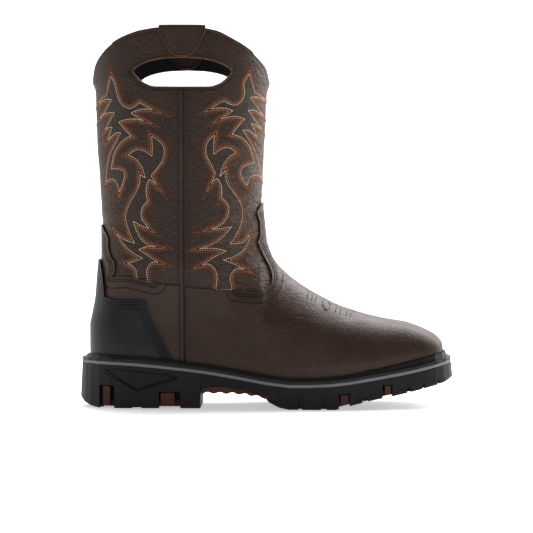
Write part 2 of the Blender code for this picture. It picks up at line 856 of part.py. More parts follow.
def make_outsole():
    breaks = list(TREAD_LINE["along"])

    def flared(along):
        return proud(along) + SOLE_FLARE

    levels = (
        (lambda along: flared(along) - TREAD_CHAMFER, tread_z),
        (flared, lambda x: tread_z(x) + TREAD_CHAMFER),
        (proud, lambda x: seat_z(x) - MIDSOLE - GAP),
    )
    sole = stack("outsole", sole_stations(breaks, steps=OUTSOLE_STEPS), levels)
    for start, end, high in zip(NOTCHES["start"], NOTCHES["end"], NOTCHES["top"]):
        cut_side(sole, start, end, -CUT_MARGIN, high * HEEL_SEAT, NOTCH_DEPTH)
    for start, end, high in zip(SLOTS["start"], SLOTS["end"], SLOTS["height"]):
        low = tread_z(np.array([x_of((start + end) / 2)]))[0]
        cut_side(sole, start, end, low - CUT_MARGIN, low + high * HEEL_SEAT, SLOT_DEPTH)
    for core_range in CORE_RANGES.values():
        combine(sole, core("pocket", *core_range, grow=GAP), "DIFFERENCE")
    combine(sole, arch_insert("arch_pocket", grow=GAP), "DIFFERENCE")
    outline = [(x_of(a), u * HEEL_SEAT) for a, u in zip(FACET["along"], FACET["up"])]
    ring = (
        (lambda along: flared(along) - FACET_DEPTH, lambda x: 0 * x),
        (lambda along: flared(along) + CUT_MARGIN, lambda x: 0 * x),
        (lambda along: flared(along) + CUT_MARGIN, lambda x: 0 * x + HEEL_SEAT),
        (lambda along: proud(along) - FACET_DEPTH, lambda x: 0 * x + HEEL_SEAT),
    )
    facet = combine(hoop("facet", sole_stations(), ring), prism("cut", outline), "INTERSECT")
    return combine(sole, facet, "DIFFERENCE")


def cut_side(sole, start, end, z_from, z_to, depth):
    for side, sign in both_sides():
        edge = edge_y(x_of((start + end) / 2), side)
        y_from, y_to = sorted((sign * (edge - depth), sign * FAR))
        combine(sole, block("notch", x_of(start), x_of(end), y_from, y_to, z_from, z_to), "DIFFERENCE")


# Colour, roughness and metallic value of each material.
FINISHES = {
    "brown_leather": ((0.060, 0.030, 0.018, 1), 0.55),
    "shaft_leather": ((0.065, 0.035, 0.021, 1), 0.60),
    "black_rubber": ((0.012, 0.012, 0.013, 1), 0.60),
    "brown_rubber": ((0.090, 0.035, 0.025, 1), 0.70),
    "grey_foam": ((0.170, 0.165, 0.165, 1), 0.70),
    "navy_lining": ((0.010, 0.012, 0.030, 1), 0.85),
}


def finish(thing, kind):
    colour, rough = FINISHES[kind]
    material = bpy.data.materials.get(thing.name) or bpy.data.materials.new(thing.name)
    material.use_nodes = True
    shader = material.node_tree.nodes["Principled BSDF"]
    shader.inputs["Base Color"].default_value = colour
    shader.inputs["Roughness"].default_value = rough
    shader.inputs["Metallic"].default_value = 0.0
    thing.data.materials.clear()
    thing.data.materials.append(material)
    thing.data.shade_smooth()
    thing.data.set_sharp_from_angle(angle=math.radians(35))


def main():
    for old in list(bpy.data.objects):
        bpy.data.objects.remove(old, do_unlink=True)
    finish(make_upper(), "shaft_leather")
    finish(make_vamp(), "brown_leather")
    finish(make_counter(), "brown_leather")
    finish(make_guard(), "black_rubber")
    finish(make_side_seam("side_seam_lateral", -1), "brown_leather")
    finish(make_side_seam("side_seam_medial", 1), "brown_leather")
    finish(make_tab("pull_tab_lateral", "outer", -1), "brown_leather")
    finish(make_tab("pull_tab_medial", "inner", 1), "brown_leather")
    finish(make_insole(), "navy_lining")
    finish(make_welt(), "black_rubber")
    finish(make_midsole(), "grey_foam")
    for name, core_range in CORE_RANGES.items():
        finish(core(name, *core_range), "brown_rubber")
    finish(arch_insert("arch_insert"), "brown_rubber")
    finish(make_outsole(), "black_rubber")


main()
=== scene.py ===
# Western work boot for the right foot: leather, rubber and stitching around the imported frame.
import math

import bmesh
import bpy
import numpy as np
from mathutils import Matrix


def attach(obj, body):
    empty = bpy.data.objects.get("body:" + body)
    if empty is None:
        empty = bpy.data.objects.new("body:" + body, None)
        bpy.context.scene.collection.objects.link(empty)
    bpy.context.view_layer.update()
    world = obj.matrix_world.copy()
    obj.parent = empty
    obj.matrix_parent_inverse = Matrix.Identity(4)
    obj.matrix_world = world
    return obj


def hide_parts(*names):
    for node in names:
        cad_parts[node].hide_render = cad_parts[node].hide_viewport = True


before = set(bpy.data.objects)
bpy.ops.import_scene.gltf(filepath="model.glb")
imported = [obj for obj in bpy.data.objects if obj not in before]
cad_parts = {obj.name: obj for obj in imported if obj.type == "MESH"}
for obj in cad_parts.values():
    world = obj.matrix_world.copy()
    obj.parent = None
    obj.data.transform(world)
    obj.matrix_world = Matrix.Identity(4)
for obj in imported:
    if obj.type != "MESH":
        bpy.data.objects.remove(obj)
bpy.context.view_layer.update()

mm = 0.001
far = 2.0  # past every end of the boot
lineSamples = 2000
awayFromEdge = 9.0  # an "edge" value, in mm, that no seam row or rim reaches

# the last's own sizes, in metres, as the solids have them
boot = {
    "upperLength": 0.2869, "ballWidth": 0.101, "shaftWidth": 0.094, "collarHeight": 0.2661,
    "collarRise": 0.0395,
    "ankleLow": 0.058, "ankleHigh": 0.124, "shaftStart": 0.150, "shaftFade": 0.035, "heelRound": 0.036,
    "backSquare": 2.15, "crownStart": 0.74,
    "featherTuck": 0.0016, "featherHeight": 0.012, "heelSeat": 0.0382, "frontWaist": 0.6145,
    "gap": 0.0003, "wall": 0.0022, "overlay": 0.0013, "guard": 0.0018, "seam": 0.0010, "tab": 0.0019,
    "welt": 0.0022, "featherGap": 0.0006, "weltProud": 0.0102, "toeProud": 0.0083,
    "seamAlong": 0.2600, "seamWidth": 0.0046,
    "holeLength": 0.0800, "holeHeight": 0.0240, "holeBottom": 0.2588,
    "tabWidth": 0.0385, "tabDrop": 0.0222,
}
heelX = (boot["weltProud"] - boot["toeProud"] - boot["upperLength"]) / 2
seamX = heelX + boot["seamAlong"] * boot["upperLength"]
collarTop = boot["collarHeight"] + boot["collarRise"]


def table(names, *rows):
    return dict(zip(names.split(), np.array(rows, float).T))


plan = table(  # along the foot; half widths as shares of half the ball width
    "along outer inner",
    (0.00, 0.624, 0.624), (0.10, 0.630, 0.624), (0.22, 0.644, 0.604), (0.33, 0.668, 0.578),
    (0.45, 0.800, 0.683), (0.55, 0.935, 0.845), (0.635, 1.000, 0.965), (0.705, 0.985, 1.000),
    (0.81, 0.890, 0.960), (0.90, 0.772, 0.865), (0.967, 0.693, 0.790), (1.00, 0.644, 0.750),
)
rounding = table(  # how the foot rounds over to its top line
    "along depth square",
    (0.43, 0.710, 2.10), (0.55, 0.610, 2.10), (0.64, 0.515, 2.15), (0.74, 0.430, 2.20),
    (0.83, 0.350, 2.30), (0.90, 0.300, 2.45), (0.95, 0.265, 2.60), (1.00, 0.245, 2.80),
)
shaftWidths = table(
    "up width",
    (0.20, 0.800), (0.41, 0.835), (0.53, 0.850), (0.64, 0.880), (0.75, 0.925), (0.88, 0.970),
    (1.00, 1.000), (1.16, 1.015),
)
frontLine = table(
    "up along",
    (0.130, 0.998), (0.165, 1.000), (0.192, 0.997), (0.212, 0.984), (0.233, 0.9505), (0.254, 0.8965),
    (0.2660, 0.830), (0.296, 0.730), (0.320, 0.676), (0.3475, 0.6285), (0.385, 0.5755),
    (0.4165, 0.5415), (0.446, 0.519), (0.4785, 0.5025), (0.515, 0.493), (0.579, 0.4865),
    (0.6145, 0.484), (0.670, 0.485), (0.7745, 0.489), (0.838, 0.492), (0.913, 0.495),
    (0.962, 0.4975), (1.000, 0.5065),
)
backLine = table(
    "up along",
    (0.130, 0.0015), (0.190, 0.0000), (0.245, 0.0000), (0.289, 0.0070), (0.338, 0.0150),
    (0.387, 0.0185), (0.4325, 0.0220), (0.4700, 0.0250), (0.5500, 0.0245), (0.6125, 0.0205),
    (0.6610, 0.0175), (0.7250, 0.0145), (0.8000, 0.0085), (0.9130, 0.0050), (0.9730, 0.0030),
    (1.0000, -0.0055),
)
collar = table(
    "share rise",
    (0.00, 0.00), (0.02, 0.31), (0.06, 0.53), (0.12, 0.72), (0.20, 0.86), (0.30, 0.96), (0.40, 1.00),
    (0.60, 1.00), (0.70, 0.95), (0.80, 0.79), (0.88, 0.63), (0.94, 0.44), (0.98, 0.27), (1.00, 0.00),
)
seatLine = table(
    "along up",
    (-0.045, 1.004), (0.100, 0.965), (0.210, 0.890), (0.325, 0.787), (0.450, 0.634), (0.503, 0.565),
    (0.566, 0.516), (0.675, 0.539), (0.775, 0.642), (0.900, 0.801), (1.035, 1.035),
)


def mix(a, b, share):
    return a + (b - a) * share


def smooth(share):
    share = np.clip(share, 0, 1)
    return share * share * (3 - 2 * share)


# monotone cubic through the rows: Hermite pieces whose tangents are harmonic means of the slopes
def curve(known, values, wanted):
    step = np.diff(known)
    slope = np.diff(values) / step
    both = slope[1:] * slope[:-1]
    total = slope[1:] + slope[:-1]
    middle = np.where(both > 0, 2 * both / np.where(both > 0, total, 1), 0)
    tangent = np.concatenate([slope[:1], middle, slope[-1:]])
    wanted = np.clip(wanted, known[0], known[-1])
    i = np.clip(np.searchsorted(known, wanted) - 1, 0, len(step) - 1)
    t = (wanted - known[i]) / step[i]
    start = values[i] * (1 + 2 * t) * (1 - t) ** 2 + tangent[i] * step[i] * t * (1 - t) ** 2
    end = values[i + 1] * (3 - 2 * t) * t**2 + tangent[i + 1] * step[i] * (t - 1) * t**2
    return start + end


# running length of a line of points
def lengthOf(x, z):
    return np.concatenate([[0], np.cumsum(np.hypot(np.diff(x), np.diff(z)))])


def alongOf(x):
    return (x - heelX) / boot["upperLength"]


def xOf(along):
    return heelX + along * boot["upperLength"]


def frontX(z):
    return xOf(curve(frontLine["up"], frontLine["along"], z / boot["collarHeight"]))


def backX(z):
    return xOf(curve(backLine["up"], backLine["along"], z / boot["collarHeight"]))


def seatZ(x):
    return boot["heelSeat"] * curve(seatLine["along"], seatLine["up"], alongOf(x))


def featherZ(x):
    return seatZ(x) + boot["gap"] + boot["welt"] + boot["featherGap"]


lineZ = np.linspace(frontLine["up"][0], boot["frontWaist"], 400) * boot["collarHeight"]


def topZ(x):
    return np.interp(x, frontX(lineZ)[::-1], lineZ[::-1], left=far)


def rounded(share, power):
    return (1 - (1 - np.clip(share, 0, 1)) ** power) ** (1 / power)


# half width at (x, z): foot width faded into shaft width, times a superellipse at front and at back
def halfWidth(x, z, side):
    along = alongOf(x)
    foot = curve(plan["along"], plan[side], along) * boot["ballWidth"] / 2
    foot = foot - boot["featherTuck"] * (1 - smooth((z - featherZ(x)) / boot["featherHeight"]))
    shaft = curve(*shaftWidths.values(), z / boot["collarHeight"]) * boot["shaftWidth"] / 2
    full = mix(foot, shaft, smooth((z - boot["ankleLow"]) / (boot["ankleHigh"] - boot["ankleLow"])))
    halfDepth = (frontX(z) - backX(z)) / 2
    before = np.maximum(frontX(z) - x, 0)
    above = np.where(z > boot["frontWaist"] * boot["collarHeight"], far, np.maximum(topZ(x) - z, 0))
    near = before * above / np.maximum(np.hypot(before, above), 1e-9)
    raised = smooth((z - boot["shaftStart"]) / boot["shaftFade"] + 1)
    depth = mix(curve(rounding["along"], rounding["depth"], along) * boot["ballWidth"], halfDepth, raised)
    front = rounded(near / depth, curve(rounding["along"], rounding["square"], along))
    toShaft = smooth((z - boot["ankleLow"]) / (boot["shaftStart"] - boot["ankleLow"]))
    back = rounded((x - backX(z)) / mix(boot["heelRound"], halfDepth, toShaft), boot["backSquare"])
    return full * front * back


# creases given one by one: soft troughs from one place to another on the leather, sizes in mm
creases = table(
    "fromAlong fromUp toAlong toUp width depth",
    (0.482, 0.668, 0.400, 0.610, 2.6, 0.55), (0.484, 0.640, 0.415, 0.575, 2.2, 0.60),
    (0.480, 0.612, 0.430, 0.552, 2.0, 0.50), (0.478, 0.583, 0.395, 0.560, 2.2, 0.40),
    (0.476, 0.545, 0.420, 0.520, 2.0, 0.45), (0.476, 0.515, 0.395, 0.478, 2.4, 0.50),
    (0.486, 0.480, 0.405, 0.452, 2.2, 0.55), (0.495, 0.452, 0.430, 0.428, 2.0, 0.60),
    (0.503, 0.425, 0.430, 0.402, 2.2, 0.55), (0.482, 0.735, 0.425, 0.690, 3.2, 0.40),
    (0.484, 0.805, 0.430, 0.770, 3.5, 0.35), (0.030, 0.640, 0.110, 0.600, 5.0, 0.40),
    (0.500, 0.505, 0.520, 0.440, 2.0, 0.50), (0.512, 0.470, 0.535, 0.405, 2.4, 0.45),
    (0.560, 0.385, 0.530, 0.330, 3.0, 0.55), (0.585, 0.362, 0.545, 0.300, 3.2, 0.50),
    (0.610, 0.345, 0.575, 0.285, 3.5, 0.40), (0.330, 0.300, 0.420, 0.240, 6.0, 0.45),
    (0.700, 0.300, 0.640, 0.215, 5.5, 0.50), (0.740, 0.275, 0.690, 0.190, 6.0, 0.40),
)
crease = {
    "bow": 0.05, "lead": 0.25, "leadSpan": 0.35, "tail": 1.15, "tailSpan": 0.7, "lipAt": 1.9, "lip": 0.45,
}


# depth at (x, z): a bell exp(-(off/width)^2) across each crease's line and a low lip beside it, both
# fading towards the crease's ends
def relief(x, z):
    total = np.zeros(np.broadcast(x, z).shape)
    for a, b, c, d, width, depth in zip(*creases.values()):
        x0, z0, x1, z1 = xOf(a), b * boot["collarHeight"], xOf(c), d * boot["collarHeight"]
        length = math.hypot(x1 - x0, z1 - z0)
        run = ((x - x0) * (x1 - x0) + (z - z0) * (z1 - z0)) / length**2
        off = ((x - x0) * (z1 - z0) - (z - z0) * (x1 - x0)) / length
        off = off + crease["bow"] * length * np.sin(math.pi * np.clip(run, 0, 1))
        fade = smooth((run + crease["lead"]) / crease["leadSpan"])
        fade = fade * smooth((crease["tail"] - run) / crease["tailSpan"])
        bell = np.exp(-((off / (width * mm)) ** 2))
        lip = np.exp(-((off / (width * mm) - crease["lipAt"]) ** 2))
        total += depth * mm * fade * (crease["lip"] * lip - bell)
    return total


# rings round the boot: z runs up the front line, each ring's points are cosine spaced from back to front
def bootRings(shares, roundSteps):
    toeZ = featherZ(np.array([xOf(1)]))[0]
    z = np.linspace(toeZ, boot["collarHeight"], lineSamples)
    x = frontX(z)
    length = lengthOf(x, z)
    wanted = shares * length[-1]
    frontZ = np.interp(wanted, length, z)
    heelZ = featherZ(np.array([heelX]))[0]
    toShaft = np.interp(boot["shaftStart"], z, length)
    backZ = np.where(wanted < toShaft, mix(heelZ, boot["shaftStart"], wanted / toShaft), frontZ)
    share = (1 - np.cos(np.linspace(0, math.pi, roundSteps + 1))) / 2
    line = mix(backZ[:, None], frontZ[:, None], share)
    base = mix(backX(np.array([heelZ])), frontX(np.array([toeZ])), share)
    sag = featherZ(base) - mix(heelZ, toeZ, share)
    level = (1 - smooth(wanted / toShaft))[:, None]
    crown = boot["collarRise"] * curve(collar["share"], collar["rise"], share)
    rise = smooth((line / boot["collarHeight"] - boot["crownStart"]) / (1 - boot["crownStart"]))
    ringZ = line + sag * level + crown * rise
    ringX = mix(backX(backZ)[:, None], frontX(frontZ)[:, None], share)
    outer, inner = -halfWidth(ringX, ringZ, "outer"), halfWidth(ringX, ringZ, "inner")
    outer[:, [0, -1]] = 0
    first = np.stack([ringX, outer, ringZ], axis=-1)
    second = np.stack([ringX, inner, ringZ], axis=-1)[:, -2:0:-1]
    return np.concatenate([first, second], axis=1)


def ringNormals(rings):
    normal = np.cross(np.roll(rings, -1, axis=1) - np.roll(rings, 1, axis=1), np.gradient(rings, axis=0))
    normal[-1, :, 2] = 0
    return normal / np.maximum(np.linalg.norm(normal, axis=2, keepdims=True), 1e-12)


def addMesh(name, verts, faces):
    mesh = bpy.data.meshes.new(name)
    mesh.from_pydata(np.asarray(verts).reshape(-1, 3).tolist(), [], faces)
    piece = bpy.data.objects.new(name, mesh)
    bpy.context.scene.collection.objects.link(piece)
    return piece


def faceOut(piece):
    work = bmesh.new()
    work.from_mesh(piece.data)
    bmesh.ops.recalc_face_normals(work, faces=work.faces)
    if work.calc_volume(signed=True) < 0:
        bmesh.ops.reverse_faces(work, faces=work.faces)
    work.to_mesh(piece.data)
    work.free()
    return piece


# quads of a grid of points (rows, count), numbered row by row, where each row meets itself
def gridFaces(rows, count, start=0):
    rowStart = start + np.arange(rows - 1)[:, None] * count
    a, b = rowStart + np.arange(count), rowStart + (np.arange(count) + 1) % count
    return np.stack([a, b, b + count, a + count], axis=-1).reshape(-1, 4)


# closed shell between two lifts of the leather's surface, creases included
def leatherShell(name, outer, inner, shares, roundSteps):
    rings = bootRings(shares, roundSteps)
    normals = ringNormals(rings)
    dip = relief(rings[..., 0], rings[..., 2])[..., None]
    rows, count = rings.shape[:2]
    skins = np.concatenate([rings + normals * (outer + dip), rings + normals * (inner + dip)])
    outside = gridFaces(rows, count)
    inside = gridFaces(rows, count, start=rows * count)[:, ::-1]
    i = np.arange(count)
    j = (i + 1) % count
    low = np.stack([j, i, i + rows * count, j + rows * count], axis=-1)
    top = np.stack([i, j, j + rows * count, i + rows * count], axis=-1) + (rows - 1) * count
    return faceOut(addMesh(name, skins, np.concatenate([outside, inside, low, top]).tolist()))


# block through the boot, with its outline given in x and z
def prism(outline):
    count = len(outline)
    flat = np.asarray(outline, float)
    verts = np.concatenate([np.insert(flat, 1, y, axis=1) for y in (-far, far)])
    sides = [(i, (i + 1) % count, count + (i + 1) % count, count + i) for i in range(count)]
    caps = [tuple(range(count)), tuple(range(2 * count - 1, count - 1, -1))]
    return faceOut(addMesh("tool", verts, sides + caps))


def combine(piece, tool, operation):
    modifier = piece.modifiers.new("cut", "BOOLEAN")
    modifier.object = tool
    modifier.operation = operation
    modifier.solver = "EXACT"
    graph = bpy.context.evaluated_depsgraph_get()
    mesh = bpy.data.meshes.new_from_object(piece.evaluated_get(graph))
    piece.modifiers.clear()
    piece.data = mesh
    mesh.name = piece.name
    bpy.data.objects.remove(tool, do_unlink=True)
    return piece


# smooth line through the rows in the given shares; a row whose corner is 1 stays sharp
def outlineOf(edge, steps=12):
    x, z = xOf(edge["along"]), edge["up"] * boot["collarHeight"]
    ends = [0] + [i for i in range(1, len(x) - 1) if edge["corner"][i]] + [len(x) - 1]
    points = []
    for a, b in zip(ends[:-1], ends[1:]):
        px, pz = x[a:b + 1], z[a:b + 1]
        length = lengthOf(px, pz)
        wanted = np.linspace(0, length[-1], steps * (b - a) + 1)
        if b - a == 1:
            line = np.stack([np.interp(wanted, length, px), np.interp(wanted, length, pz)], axis=1)
        else:
            line = np.stack([curve(length, px, wanted), curve(length, pz, wanted)], axis=1)
        points.append(line[:-1] if b < len(x) - 1 else line)
    return np.concatenate(points)


# distance of each point (x, z) from a line of points
def distanceTo(line, x, z, block=20000):
    a, b = line[:-1], line[1:]
    step = b - a
    size = np.maximum((step**2).sum(axis=1), 1e-18)
    out = np.empty(len(x))
    for start in range(0, len(x), block):
        p = np.stack([x[start:start + block], z[start:start + block]], axis=1)[:, None]
        t = np.clip(((p - a) * step).sum(axis=2) / size, 0, 1)[..., None]
        out[start:start + block] = np.sqrt((((p - a) - t * step) ** 2).sum(axis=2).min(axis=1))
    return out


def placesOf(piece):
    places = np.empty(len(piece.data.vertices) * 3, np.float32)
    piece.data.vertices.foreach_get("co", places)
    return places.reshape(-1, 3).astype(float)


# stores a number for each vertex, in millimetres, that the piece's material reads by name
def keep(piece, name, values):
    layer = piece.data.attributes.new(name, "FLOAT", "POINT")
    layer.data.foreach_set("value", np.asarray(values, np.float32))


def dress(piece, material, replaces=(), angle=50):
    piece.data.materials.clear()
    piece.data.materials.append(material)
    piece.data.shade_smooth()
    piece.data.set_sharp_from_angle(angle=math.radians(angle))
    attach(piece, "root")
    if replaces:
        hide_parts(*replaces)
    return piece


# sRGB hex to linear colour
def linear(code):
    parts = [int(code[i:i + 2], 16) / 255 for i in (1, 3, 5)]
    return tuple(p / 12.92 if p <= 0.04045 else ((p + 0.055) / 1.055) ** 2.4 for p in parts) + (1,)


# adds one shader node: its settings, the values of its sockets and the links into them
def node(tree, kind, values=(), links=(), **settings):
    made = tree.nodes.new("ShaderNode" + kind)
    for name, value in settings.items():
        setattr(made, name, value)
    for socket, value in dict(values).items():
        made.inputs[socket].default_value = value
    for socket, source in dict(links).items():
        tree.links.new(source, made.inputs[socket])
    return made


def newMaterial(name):
    material = bpy.data.materials.new(name)
    material.use_nodes = True
    tree = material.node_tree
    return material, tree, tree.nodes["Principled BSDF"]


def ramp(tree, source, stops):
    made = node(tree, "ValToRGB", links={0: source})
    line = made.color_ramp
    while len(line.elements) < len(stops):
        line.elements.new(0.5)
    for element, (place, level) in zip(line.elements, stops):
        element.position = place
        element.color = (level, level, level, 1)
    return made.outputs[0]


# what every leather shares; sizes in mm
skin = {
    "pore": 0.45, "poreBump": 0.25, "poreDepth": 0.15, "speck": 1.6, "cloud": 26,
    "cloudAt": [(0.34, 0), (0.68, 1)], "fold": 9, "foldDepth": 2.2,
    "foldAt": [(0.38, 1), (0.50, 0.15), (0.62, 0.9)], "grainDepth": 0.6,
    "pebbleAt": (0.25, 0.55), "rowHalf": 0.62, "rowBump": 0.8, "rowDepth": 0.7, "smoother": 0.06,
    "rougher": 0.08,
}
rowReach = 14.0  # mm from a cut edge within which its rows lie


# rows sunk beside a cut edge: `level` between them, `sunk` on the middle line of each
def edgeRows(tree, edge, rows, half, level, sunk):
    share = node(tree, "MapRange", {1: 0.0, 2: rowReach, 3: 0.0, 4: 1.0}, {0: edge}).outputs[0]
    stops = [(0.0, level)]
    for row in rows:
        for place, height in ((row - half, level), (row, sunk), (row + half, level)):
            stops.append((place / rowReach, height))
    return ramp(tree, share, stops)


# Full-grain cowhide, oil tanned and drum dyed: open pebble of a millimetre or two with painted shade in the
# creases between the pebbles, fine pores between, colour that pulls up lighter where the hide is bent, and
# painted shade in the sunk lines along its seams.
def leather(name, look):
    material, tree, shader = newMaterial(name)
    place = node(tree, "TexCoord").outputs["Object"]
    pebble = node(tree, "TexVoronoi", {"Scale": 1 / (look["pebble"] * mm), "Randomness": 1.0},
                  {"Vector": place}, feature="SMOOTH_F1").outputs["Distance"]
    pores = node(tree, "TexNoise", {"Scale": 1 / (skin["pore"] * mm), "Detail": 3.0}, {"Vector": place})
    hide = node(tree, "TexNoise", {"Scale": 1 / (skin["cloud"] * mm), "Detail": 5.0, "Roughness": 0.62},
                {"Vector": place})
    cloud = ramp(tree, hide.outputs["Fac"], skin["cloudAt"])
    speck = node(tree, "TexNoise", {"Scale": 1 / (skin["speck"] * mm), "Detail": 2.0}, {"Vector": place})
    worn = node(tree, "Attribute", attribute_name="worn").outputs["Fac"]
    lined = node(tree, "Mapping", {"Scale": look["foldScale"], "Rotation": look["foldTurn"]},
                 {"Vector": place})
    folds = node(tree, "TexNoise",
                 {"Scale": 1 / (skin["fold"] * mm), "Detail": 4.0, "Roughness": 0.55, "Distortion": 0.6},
                 {"Vector": lined.outputs[0]}).outputs["Fac"]
    sharpFolds = ramp(tree, folds, skin["foldAt"])
    tone = node(tree, "Mix", {6: linear(look["dark"]), 7: linear(look["light"])}, {0: cloud},
                data_type="RGBA")
    # painted shade: the colour darkens to the look's "between" share in the creases between the pebbles
    low, high = skin["pebbleAt"]
    paintedShadeBetweenPebbles = ramp(tree, pebble, [(low, 1), (high, look["between"])])
    base = node(tree, "Mix", {0: 1.0}, {6: tone.outputs[2], 7: paintedShadeBetweenPebbles}, data_type="RGBA",
                blend_type="MULTIPLY")
    fleck = node(tree, "Math", {1: look["fleck"]}, {0: speck.outputs["Fac"]},
                 operation="MULTIPLY").outputs[0]
    flecked = node(tree, "Mix", {7: linear(look["pull"])}, {0: fleck, 6: base.outputs[2]}, data_type="RGBA")
    foldShade = node(tree, "Math", {1: look["foldTint"]}, {0: worn}, operation="MULTIPLY").outputs[0]
    foldMask = node(tree, "Math", {}, {0: foldShade, 1: sharpFolds}, operation="MULTIPLY").outputs[0]
    pulled = node(tree, "Mix", {7: linear(look["pull"])}, {0: foldMask, 6: flecked.outputs[2]},
                  data_type="RGBA")
    edge = node(tree, "Attribute", attribute_name="edge").outputs["Fac"]
    rim = node(tree, "MapRange", {1: look["rim"], 2: 0.0, 3: 0.0, 4: 1.0}, {0: edge}).outputs[0]
    # painted shade: the colour darkens to the look's rowShade share on the middle line of each sunk row
    sunk = edgeRows(tree, edge, look["rows"], skin["rowHalf"], 1.0, 0.0)
    shade = node(tree, "MapRange", {3: look["rowShade"], 4: 1.0}, {0: sunk}).outputs[0]
    shaded = node(tree, "Mix", {0: 1.0}, {6: pulled.outputs[2], 7: shade}, data_type="RGBA",
                  blend_type="MULTIPLY")
    rimmed = node(tree, "Mix", {7: linear(look["cut"])}, {0: rim, 6: shaded.outputs[2]}, data_type="RGBA")
    tree.links.new(rimmed.outputs[2], shader.inputs["Base Color"])
    grain = node(tree, "Bump", {"Strength": look["grain"], "Distance": skin["grainDepth"] * mm},
                 {"Height": pebble}, invert=True)
    fine = node(tree, "Bump", {"Strength": skin["poreBump"], "Distance": skin["poreDepth"] * mm},
                {"Height": pores.outputs["Fac"], "Normal": grain.outputs[0]})
    foldHeight = node(tree, "Math", {}, {0: worn, 1: folds}, operation="MULTIPLY").outputs[0]
    folded = node(tree, "Bump", {"Strength": look["fold"], "Distance": skin["foldDepth"] * mm},
                  {"Height": foldHeight, "Normal": fine.outputs[0]})
    seamed = node(tree, "Bump", {"Strength": skin["rowBump"], "Distance": skin["rowDepth"] * mm},
                  {"Height": sunk, "Normal": folded.outputs[0]})
    tree.links.new(seamed.outputs[0], shader.inputs["Normal"])
    smoothest, roughest = look["rough"] - skin["smoother"], look["rough"] + skin["rougher"]
    shine = node(tree, "MapRange", {3: smoothest, 4: roughest}, {0: cloud}).outputs[0]
    tree.links.new(shine, shader.inputs["Roughness"])
    shader.inputs["IOR"].default_value = 1.5
    shader.inputs["Specular IOR Level"].default_value = look["gloss"]
    return material


# what every moulded rubber shares; sizes in mm, the heel guard's toothed spine in metres; dark and shade
# give the colour and share of the painted shade in sunk lines
mould = {
    "grit": 0.5, "gritBump": 0.18, "gritDepth": 0.2, "dust": 11, "core": 0.3, "rowHalf": 0.55,
    "dark": "#0c0c0d", "shade": 0.75, "bump": 0.8, "depth": 0.9, "tooth": 2.5, "toothAt": (-0.2, 0.5),
    "spineBehind": (-0.1345, -0.1365), "spineAbove": (0.078, 0.080), "gloss": 0.25,
}


# how near a spot of the side is to a groove drawn from one point to the next, 1 on its middle line
def grooveShade(tree, place, ends, width):
    total = None
    for (fromX, fromZ), (toX, toZ) in zip(ends[:-1], ends[1:]):
        long = math.hypot(toX - fromX, toZ - fromZ)
        along = ((toX - fromX) / long, 0.0, (toZ - fromZ) / long)
        flat = node(tree, "VectorMath", {1: (1, 0, 1)}, {0: place}, operation="MULTIPLY").outputs[0]
        away = node(tree, "VectorMath", {1: (fromX, 0, fromZ)}, {0: flat}, operation="SUBTRACT").outputs[0]
        share = node(tree, "VectorMath", {1: along}, {0: away}, operation="DOT_PRODUCT").outputs["Value"]
        held = node(tree, "Clamp", {1: 0.0, 2: long}, {0: share}).outputs[0]
        foot = node(tree, "VectorMath", {0: along}, {3: held}, operation="SCALE").outputs[0]
        gap = node(tree, "VectorMath", {}, {0: away, 1: foot}, operation="DISTANCE").outputs["Value"]
        near = node(tree, "MapRange", {1: width, 2: width * mould["core"], 3: 0.0, 4: 1.0},
                    {0: gap}).outputs[0]
        if total is not None:
            near = node(tree, "Math", {}, {0: total, 1: near}, operation="MAXIMUM").outputs[0]
        total = near
    return total


